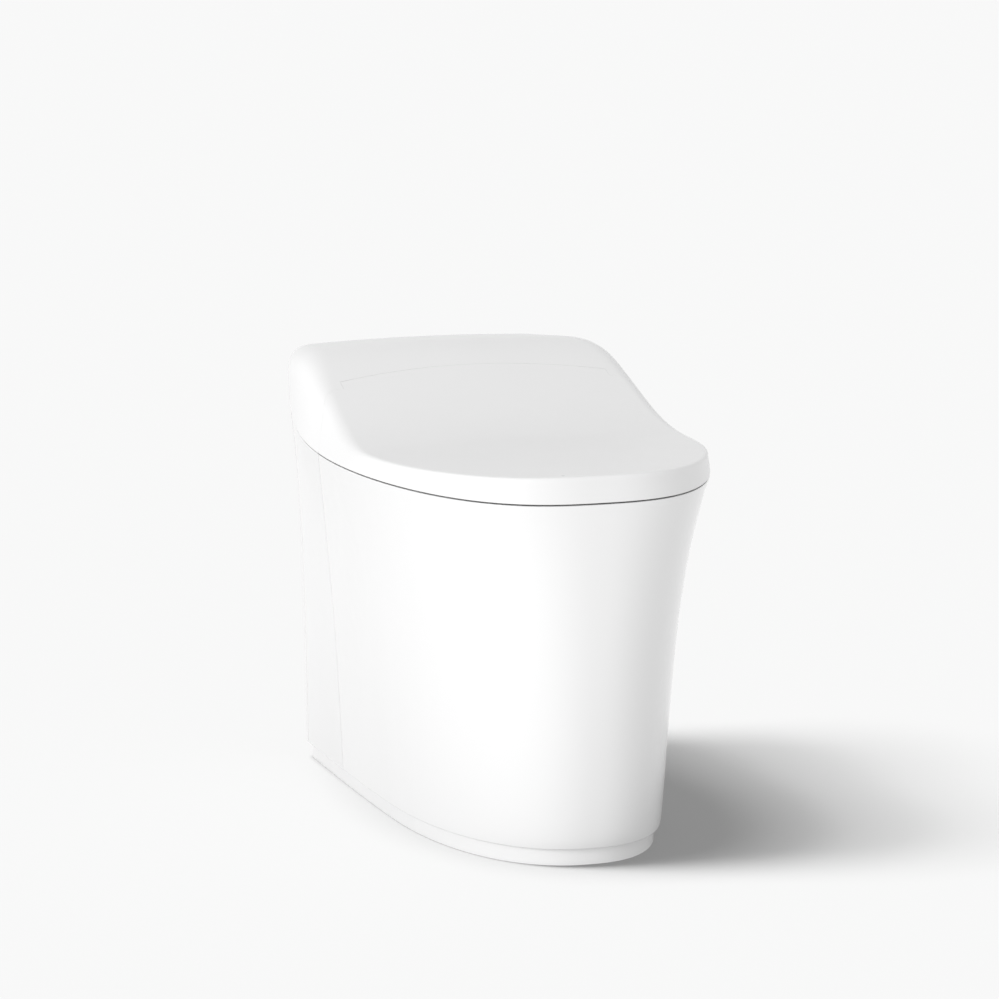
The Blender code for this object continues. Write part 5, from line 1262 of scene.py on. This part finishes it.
class TOILET_OT_washing_unit(bpy.types.Operator):
    """Dress the pieces that show their own solids: chassis, wand, filter, hinge and fittings."""

    bl_idname = "toilet.washing_unit"
    bl_label = "Washing unit"

    def execute(self, context):
        dressed = {
            "chassis": ("unit_chassis",),
            "grey": ("nozzle_housing", "heater_tank", "fan_impeller", "flush_reservoir", "filter_cartridge"),
            "dark": (
                "control_box", "fan_housing", "filter_guide", "button_switch", "flush_pump", "inlet_valve",
                "power_gland", "shaft_cap_left", "shaft_cap_right",
            ),
            "steel": (
                "floor_bracket_left", "floor_bracket_right", "bracket_screw_left", "bracket_screw_right",
                "chassis_screw_left", "chassis_screw_right", "hinge_shaft", "nozzle_wand",
            ),
            "brass": ("inlet_fitting",),
            "seal": ("outlet_seal",),
            "trim": ("wand_tip",),
        }
        made = finishes()
        for finish, nodes in dressed.items():
            for node in nodes:
                mesh = frame["nodes"][node].data
                mesh.materials.clear()
                mesh.materials.append(made[finish])
        return {"FINISHED"}


# Floor, lamps and camera

def outwards(azimuth, elevation):
    """Unit way from the object towards a viewer or light, the azimuth counted from the front."""
    level = math.cos(elevation)
    return Vector((math.sin(azimuth) * level, -math.cos(azimuth) * level, math.sin(elevation)))


def sun(name, way, strength, spread):
    data = bpy.data.lights.new(name, "SUN")
    data.energy = strength
    data.angle = spread
    obj = bpy.data.objects.new(name, data)
    bpy.context.scene.collection.objects.link(obj)
    obj.rotation_euler = outwards(*way).to_track_quat("Z", "Y").to_euler()
    return obj


def link_light(light, obj, state):
    """Let a light reach only one object, or every object but that one."""
    receivers = bpy.data.collections.new(light.name + "_receivers")
    receivers.objects.link(obj)
    receivers.collection_objects[0].light_linking.link_state = state
    light.light_linking.receiver_collection = receivers


def background_rays(tree):
    """1 for camera, glossy and transmission rays, and 0 for the rays that light the object."""
    path = new_node(tree, "LightPath")
    total = path.outputs["Is Camera Ray"]
    for output in ("Is Glossy Ray", "Is Transmission Ray"):
        either = new_node(tree, "Math")
        either.operation = "MAXIMUM"
        tree.links.new(total, either.inputs[0])
        tree.links.new(path.outputs[output], either.inputs[1])
        total = either.outputs["Value"]
    return total


class TOILET_OT_stage(bpy.types.Operator):
    """Lay the pale floor, hang the lamps and set the camera."""

    bl_idname = "toilet.stage"
    bl_label = "Stage"

    def execute(self, context):
        bpy.ops.object.select_all(action="DESELECT")
        bpy.ops.mesh.primitive_plane_add(size=FLOOR_SIZE)
        floor = settle(bpy.context.active_object, "studio_floor")
        floor.data.materials.append(self.floor_material())
        self.world()
        key = sun("key_light", KEY_WAY, KEY_STRENGTH, KEY_SPREAD)
        link_light(key, floor, "EXCLUDE")
        for elevation in FLOOR_LIGHT_ELEVATIONS:
            way = (FLOOR_LIGHT_AZIMUTH, elevation)
            lamp = sun("floor_light", way, FLOOR_LIGHT_STRENGTH, FLOOR_LIGHT_SPREAD)
            link_light(lamp, floor, "INCLUDE")
        camera = bpy.data.cameras.new("photo_camera")
        camera.sensor_fit = "HORIZONTAL"
        camera.sensor_width = VIEW_SENSOR
        camera.lens = VIEW_LENS
        camera.clip_end = VIEW_CLIP
        obj = bpy.data.objects.new("photo_camera", camera)
        context.scene.collection.objects.link(obj)
        back = outwards(VIEW_AZIMUTH, VIEW_ELEVATION)
        obj.location = VIEW_TARGET + back * VIEW_DISTANCE
        obj.rotation_euler = back.to_track_quat("Z", "Y").to_euler()
        context.scene.camera = obj
        context.scene.view_settings.view_transform = "Standard"
        return {"FINISHED"}

    def floor_material(self):
        """Pale floor: the camera sees it with its shadow. For the object it glows as painted bounce light,
        dimmer near the toilet as painted shade.
        """
        colour = (*colours().floor, 1.0)
        material = bpy.data.materials.new("pale_floor")
        material.use_nodes = True
        tree = material.node_tree
        tree.nodes.clear()
        place = new_node(tree, "TexCoord")
        away = new_node(tree, "VectorMath")
        away.operation = "LENGTH"
        # The glow is weaker near the toilet: painted shade round its foot
        near, far = BOUNCE_REACH
        weak, strong = BOUNCE_STRENGTH
        painted_shade_falloff = new_node(tree, "MapRange", From_Min=near, From_Max=far, To_Min=weak, To_Max=strong)
        bounce = new_node(tree, "Emission", Color=colour)
        shade = new_node(tree, "BsdfDiffuse", Color=(FLOOR_SHADE, FLOOR_SHADE, FLOOR_SHADE, 1.0))
        glow = new_node(tree, "Emission", Color=colour, Strength=FLOOR_GLOW)
        seen = new_node(tree, "AddShader")
        tree.links.new(place.outputs["Object"], away.inputs["Vector"])
        tree.links.new(away.outputs["Value"], painted_shade_falloff.inputs["Value"])
        tree.links.new(painted_shade_falloff.outputs["Result"], bounce.inputs["Strength"])
        tree.links.new(shade.outputs["BSDF"], seen.inputs[0])
        tree.links.new(glow.outputs["Emission"], seen.inputs[1])
        self.choose(tree, bounce.outputs["Emission"], seen.outputs["Shader"], "OutputMaterial")
        return material

    def world(self):
        """Even soft light, with the plain backdrop colour where the camera or a reflection sees it."""
        world = bpy.data.worlds.new("pale_studio")
        bpy.context.scene.world = world
        world.use_nodes = True
        tree = world.node_tree
        tree.nodes.clear()
        backdrop = new_node(tree, "Background", Color=(*colours().floor, 1.0))
        ambient = new_node(tree, "Background", Color=(1.0, 1.0, 1.0, 1.0), Strength=AMBIENT)
        self.choose(tree, ambient.outputs["Background"], backdrop.outputs["Background"], "OutputWorld")

    def choose(self, tree, lighting, seen, output_kind):
        """One look for the rays that light the object, another for what the camera sees."""
        choice = new_node(tree, "MixShader")
        output = new_node(tree, output_kind)
        tree.links.new(background_rays(tree), choice.inputs["Fac"])
        tree.links.new(lighting, choice.inputs[1])
        tree.links.new(seen, choice.inputs[2])
        tree.links.new(choice.outputs["Shader"], output.inputs["Surface"])


OPERATORS = (
    TOILET_OT_ceramic_body,
    TOILET_OT_side_panels,
    TOILET_OT_lid,
    TOILET_OT_rear_cover,
    TOILET_OT_push_buttons,
    TOILET_OT_seat,
    TOILET_OT_washing_unit,
    TOILET_OT_stage,
)


class TOILET_PT_pieces(bpy.types.Panel):
    """Lists the sizes, colours and pieces of the toilet."""

    bl_idname = "TOILET_PT_pieces"
    bl_label = "Smart toilet"
    bl_space_type = "VIEW_3D"
    bl_region_type = "UI"
    bl_category = "Toilet"

    def draw(self, context):
        layout = self.layout
        for group in (context.scene.toilet_sizes, context.scene.toilet_colours):
            for name in group.bl_rna.properties.keys():
                if name not in ("rna_type", "name"):
                    layout.prop(group, name)
        for operator in OPERATORS:
            layout.operator(operator.bl_idname)


CLASSES = (ToiletSizes, ToiletColours) + OPERATORS + (TOILET_PT_pieces,)


def register():
    for made in CLASSES:
        bpy.utils.register_class(made)
    bpy.types.Scene.toilet_sizes = PointerProperty(type=ToiletSizes)
    bpy.types.Scene.toilet_colours = PointerProperty(type=ToiletColours)


def unregister():
    del bpy.types.Scene.toilet_colours
    del bpy.types.Scene.toilet_sizes
    for made in reversed(CLASSES):
        bpy.utils.unregister_class(made)


def main():
    register()
    bpy.ops.toilet.ceramic_body()
    bpy.ops.toilet.side_panels()
    bpy.ops.toilet.lid()
    bpy.ops.toilet.rear_cover()
    bpy.ops.toilet.push_buttons()
    bpy.ops.toilet.seat()
    bpy.ops.toilet.washing_unit()
    bpy.ops.toilet.stage()


if __name__ == "__main__":
    main()
